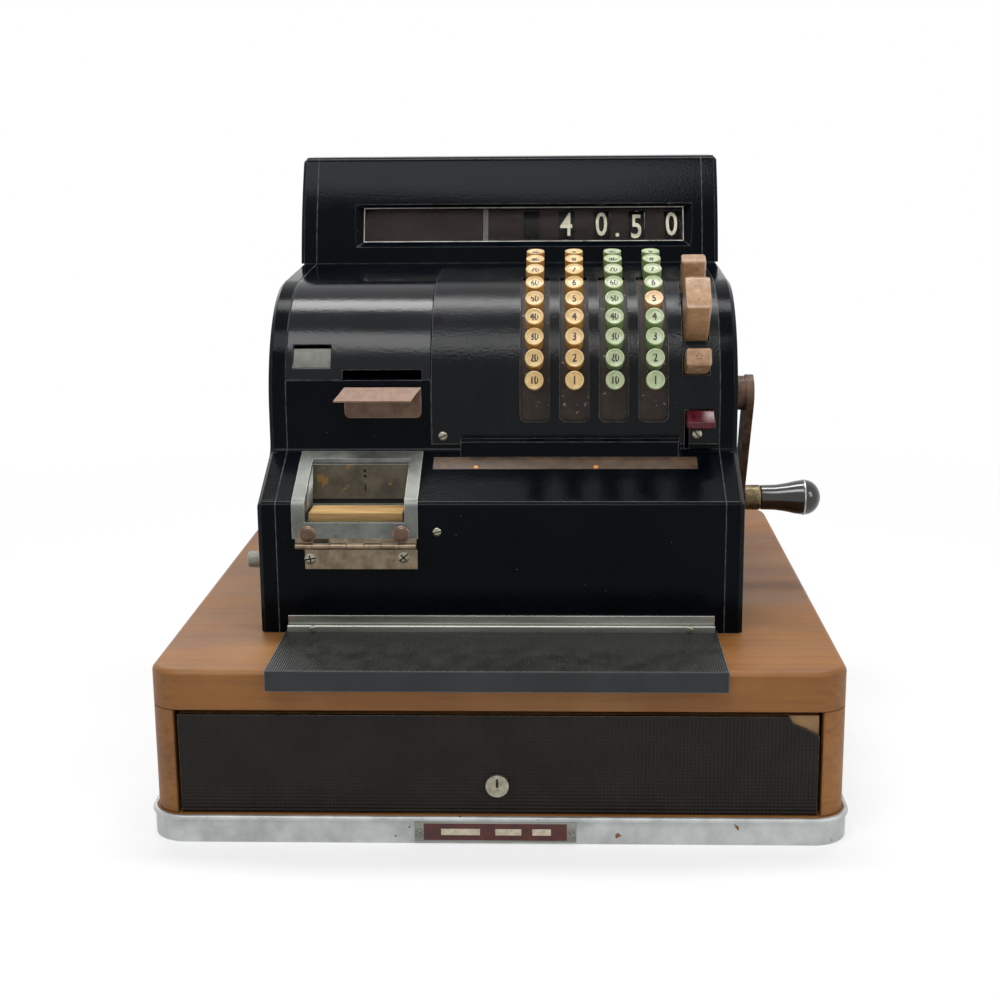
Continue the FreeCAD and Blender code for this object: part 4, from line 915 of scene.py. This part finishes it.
class TICKET_REGISTER_OT_chute(bpy.types.Operator):
    """Dress the ticket chute: casting, back plate with its holes and feed gap as black pieces of painted
    shade, tickets and studs
    """
    bl_idname = "ticket_register.chute"
    bl_label = "Ticket chute"

    def execute(self, context):
        bezel = CASE_FRONT - 2.8 * MM
        casting = cad_copy("ticket_chute", "chute_casting",
                           lambda c, n: not (c.y < bezel - 0.02 * MM and c.z > WOOD_TOP + 68.3 * MM))
        soften(casting, 0.6, 3, 32)
        dressed(casting, "chute", finish("mottled_zinc"), "chute_zinc", "ticket_chute")
        bronze = finish("worn_bronze")
        black = finish("wheel_black")
        hinge_low = WOOD_TOP + 68.2 * MM
        paint(casting, bronze, lambda c, n: c.z < hinge_low + 3.1 * MM)
        edge = block("chute_hinge_edge", (CHUTE[0].x + 2.1 * MM, bezel, hinge_low),
                     (CHUTE[1].x - 1.2 * MM, bezel + 1.2 * MM, hinge_low + 3.5 * MM))
        dressed(edge, "chute", bronze, "chute_zinc")
        left = CHUTE[0].x + 9.5 * MM
        right = CHUTE[1].x - 9.5 * MM
        floor = WOOD_TOP + 82 * MM
        tilt = math.radians(CHUTE_LEAN)
        length = 24.6 * MM / math.cos(tilt)

        def on_plate(piece, material, x, rise, proud):
            y = CASE_FRONT + 36 * MM + rise * math.tan(tilt)
            place = facing_front(x, y, floor + rise, CHUTE_LEAN) @ Matrix.Translation((0, 0, proud))
            dressed(placed(piece, place), "chute", material, "chute_zinc")

        lift = 0.15 * MM
        plate = block("back_plate", (left, 0, -0.5 * MM), (right, length, lift))
        on_plate(plate, finish("aged_bronze"), 0, 10 * MM, 0)
        # The feed gap below the plate is a thin black sheet: painted shade where the opening is dark.
        feed_shade = block("feed_gap_shade", (left, 0, -0.9 * MM), (right, 3.4 * MM, -0.7 * MM))
        on_plate(feed_shade, black, 0, 6.9 * MM, 0)
        # The plate's holes and slot are black discs and a black strip on its face: painted shade for the
        # openings.
        for name, x, rise, radius in (("plate_hole_shade_upper", -0.1020, 30 * MM, 1.2),
                                      ("plate_hole_shade_lower", -0.1018, 26.2 * MM, 1.1)):
            on_plate(turned(name, [(0, radius), (0.1, radius)], 20), black, x, rise, lift)
        slot_shade = block("plate_slot_shade", (-0.5 * MM, 0, 0), (0.5 * MM, 5.4 * MM, 0.1 * MM))
        on_plate(slot_shade, black, -0.1016, 15.5 * MM, lift)
        front = CASE_FRONT + 2.7 * MM
        stack = block("ticket_stack", (left + 1.95 * MM, front - 0.05 * MM, floor),
                      (right - 1.95 * MM, front + 27.1 * MM, floor + 7.15 * MM))
        soften(stack, 0.3)
        dressed(stack, "chute", ruled(finish("ticket_card"), 0.55, 0.3, "Z"), "chute_zinc")
        for name, x in (("chute_stud_left", CHUTE[0].x + 11.2 * MM),
                        ("chute_stud_right", CHUTE[1].x - 12.2 * MM)):
            stud = turned(name, [(0, 6.5), (0.8, 6.5), (1.1, 6.1), (1.1, 5.5), (1.9, 5.1), (2.5, 4.0),
                                 (2.8, 2.2), (2.9, 0.6)], 40)
            placed(stud, facing_front(x, bezel, WOOD_TOP + 74.7 * MM))
            soften(stud, 0)
            dressed(stud, "chute", finish("dull_copper"), "chute_zinc")
        return {"FINISHED"}


class TICKET_REGISTER_OT_grip(bpy.types.Operator):
    """Turn the crank's grip: brass ferrule, bakelite, a light ring and the domed end"""
    bl_idname = "ticket_register.grip"
    bl_label = "Crank grip"

    def execute(self, context):
        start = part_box("crank_grip")[0].x
        along_x = Matrix.Rotation(math.radians(90), 4, "Y")
        arc = [math.radians(angle) for angle in (0, 15, 30, 45, 60, 75, 86)]
        dome = [(49.2 + 12.8 * math.sin(turn), 14.2 * math.cos(turn)) for turn in arc]
        for name, steps, material in (
                ("grip_ferrule", [(0, 8.6), (0.4, 9.4), (1.6, 10.0), (12.6, 10.1), (13.6, 9.7), (14, 9.0)],
                 finish("stained_brass")),
                ("grip_body", [(14, 9.0), (14.6, 9.9), (26, 10.2), (34, 11.4), (42, 13.2), (47.4, 14.1),
                               (48, 13.8)], finish("black_bakelite")),
                ("grip_ring", [(48, 13.8), (48.1, 14.3), (49.1, 14.3), (49.2, 13.9)],
                 finish("pale_ring_metal")),
                ("grip_dome", dome, finish("black_bakelite"))):
            piece = turned(name, steps, 48)
            placed(piece, Matrix.Translation((start, GRIP_LINE.y, GRIP_LINE.z)) @ along_x)
            soften(piece, 0, limit=50)
            dressed(piece, "grip", material, "grip_black", "crank_grip")
        return {"FINISHED"}


class TICKET_REGISTER_OT_keys(bpy.types.Operator):
    """Model the number keys with dished tops and inked numerals"""
    bl_idname = "ticket_register.keys"
    bl_label = "Number keys"

    def cap(self):
        """One key, standing up Z at its distance from the drum's axis: a dished cap on a flat stem."""
        top = KEY_RADIUS / MM
        base = top - 15.0
        cap = turned("cap", [(base, 6.2), (base + 0.4, 6.55), (top - 0.7, 6.95), (top - 0.15, 6.75),
                             (top, 6.3), (top - 0.1, 5.9), (top - 0.6, 5.4), (top - 0.95, 4.4),
                             (top - 1.1, 2.0)], 40)
        stem = block("stem", (-MM, -4 * MM, (base - 28) * MM), (MM, 4 * MM, (base + 1) * MM))
        return join([cap, stem])

    def execute(self, context):
        height = context.scene.register_sizes.numeral_height / MM
        cap = self.cap()
        plastics = {shade: key_plastic(shade) for shade in KEY_PLASTICS}
        ink = finish("numeral_ink")
        squeeze = Matrix.Diagonal((0.68, 1, 1, 1))
        on_face = Matrix.Translation((0, 0, KEY_RADIUS - 1.06 * MM))
        for bank in range(4):
            unit = 10 if bank % 2 == 0 else 1
            kind = "amber" if bank < 2 else "green"
            for row in range(9):
                node = f"key_bank{bank + 1}_row{row + 1}"
                replaced = bank == 3 and row == 4
                matrix = on_drum(ROW_FIRST + row * ROW_STEP, BANK_FIRST + bank * BANK_PITCH)
                key = twin(cap, f"cap_bank{bank + 1}_row{row + 1}")
                for material in plastics["peach" if replaced else kind]:
                    key.data.materials.append(material)
                for face in key.data.polygons:
                    face.material_index = int(face.center.z > KEY_RADIUS - 1.3 * MM)
                placed(key, matrix)
                soften(key, 0)
                dressed(key, node, None, f"key_{kind}", node)
                numeral = lettering(f"numeral_bank{bank + 1}_row{row + 1}",
                                    str((row + 1) * unit), height, bold=0.34)
                placed(numeral, matrix @ on_face @ squeeze)
                dressed(numeral, node, ink, f"key_{kind}")
        bpy.data.objects.remove(cap)
        return {"FINISHED"}


class TICKET_REGISTER_OT_function_keys(bpy.types.Operator):
    """Dress the three tan function keys"""
    bl_idname = "ticket_register.function_keys"
    bl_label = "Function keys"

    def execute(self, context):
        tan = finish("tan_moulding")
        for node in ("motor_bar", "total_key", "star_key"):
            piece = cad_copy(node, f"{node}_cap")
            soften(piece, 1.0, 3, 20)
            dressed(piece, node, tan, "key_tan", node)
        ink = finish("numeral_ink")
        turns = [math.radians(90 + 72 * step) for step in range(5)]
        dots = [("star_key", 21.2, 117.3, 1.9 * math.cos(turn), 1.9 * math.sin(turn)) for turn in turns]
        dots.append(("motor_bar", 45.2, 127.9, 0, -11))
        for index, (node, angle, top, across, up) in enumerate(dots):
            dot = turned(f"key_dot_{index}", [(0, 0.5), (0.08, 0.5)], 12)
            placed(dot, on_drum(angle, FUNCTION_X) @ Matrix.Translation((across * MM, up * MM, top * MM)))
            dressed(dot, node, ink, "key_tan")
        return {"FINISHED"}


class TICKET_REGISTER_PT_panel(bpy.types.Panel):
    """Lists the pieces that can be made"""
    bl_label = "Ticket register"
    bl_idname = "TICKET_REGISTER_PT_panel"
    bl_space_type = "VIEW_3D"
    bl_region_type = "UI"
    bl_category = "Register"

    def draw(self, context):
        for operator in operators:
            self.layout.operator(operator.bl_idname)


operators = (TICKET_REGISTER_OT_stage, TICKET_REGISTER_OT_cabinet, TICKET_REGISTER_OT_drawer,
             TICKET_REGISTER_OT_casing, TICKET_REGISTER_OT_ledges, TICKET_REGISTER_OT_window,
             TICKET_REGISTER_OT_chute, TICKET_REGISTER_OT_grip, TICKET_REGISTER_OT_keys,
             TICKET_REGISTER_OT_function_keys)
classes = (RegisterSizes, RegisterColours) + operators + (TICKET_REGISTER_PT_panel,)


def register():
    for item in classes:
        bpy.utils.register_class(item)
    bpy.types.Scene.register_sizes = bpy.props.PointerProperty(type=RegisterSizes)
    bpy.types.Scene.register_colours = bpy.props.PointerProperty(type=RegisterColours)


def unregister():
    del bpy.types.Scene.register_colours
    del bpy.types.Scene.register_sizes
    for item in reversed(classes):
        bpy.utils.unregister_class(item)


def main():
    register()
    bpy.ops.ticket_register.stage()
    bpy.ops.ticket_register.cabinet()
    bpy.ops.ticket_register.drawer()
    bpy.ops.ticket_register.casing()
    bpy.ops.ticket_register.keys()
    bpy.ops.ticket_register.function_keys()
    bpy.ops.ticket_register.ledges()
    bpy.ops.ticket_register.window()
    bpy.ops.ticket_register.chute()
    bpy.ops.ticket_register.grip()


if __name__ == "__main__":
    main()
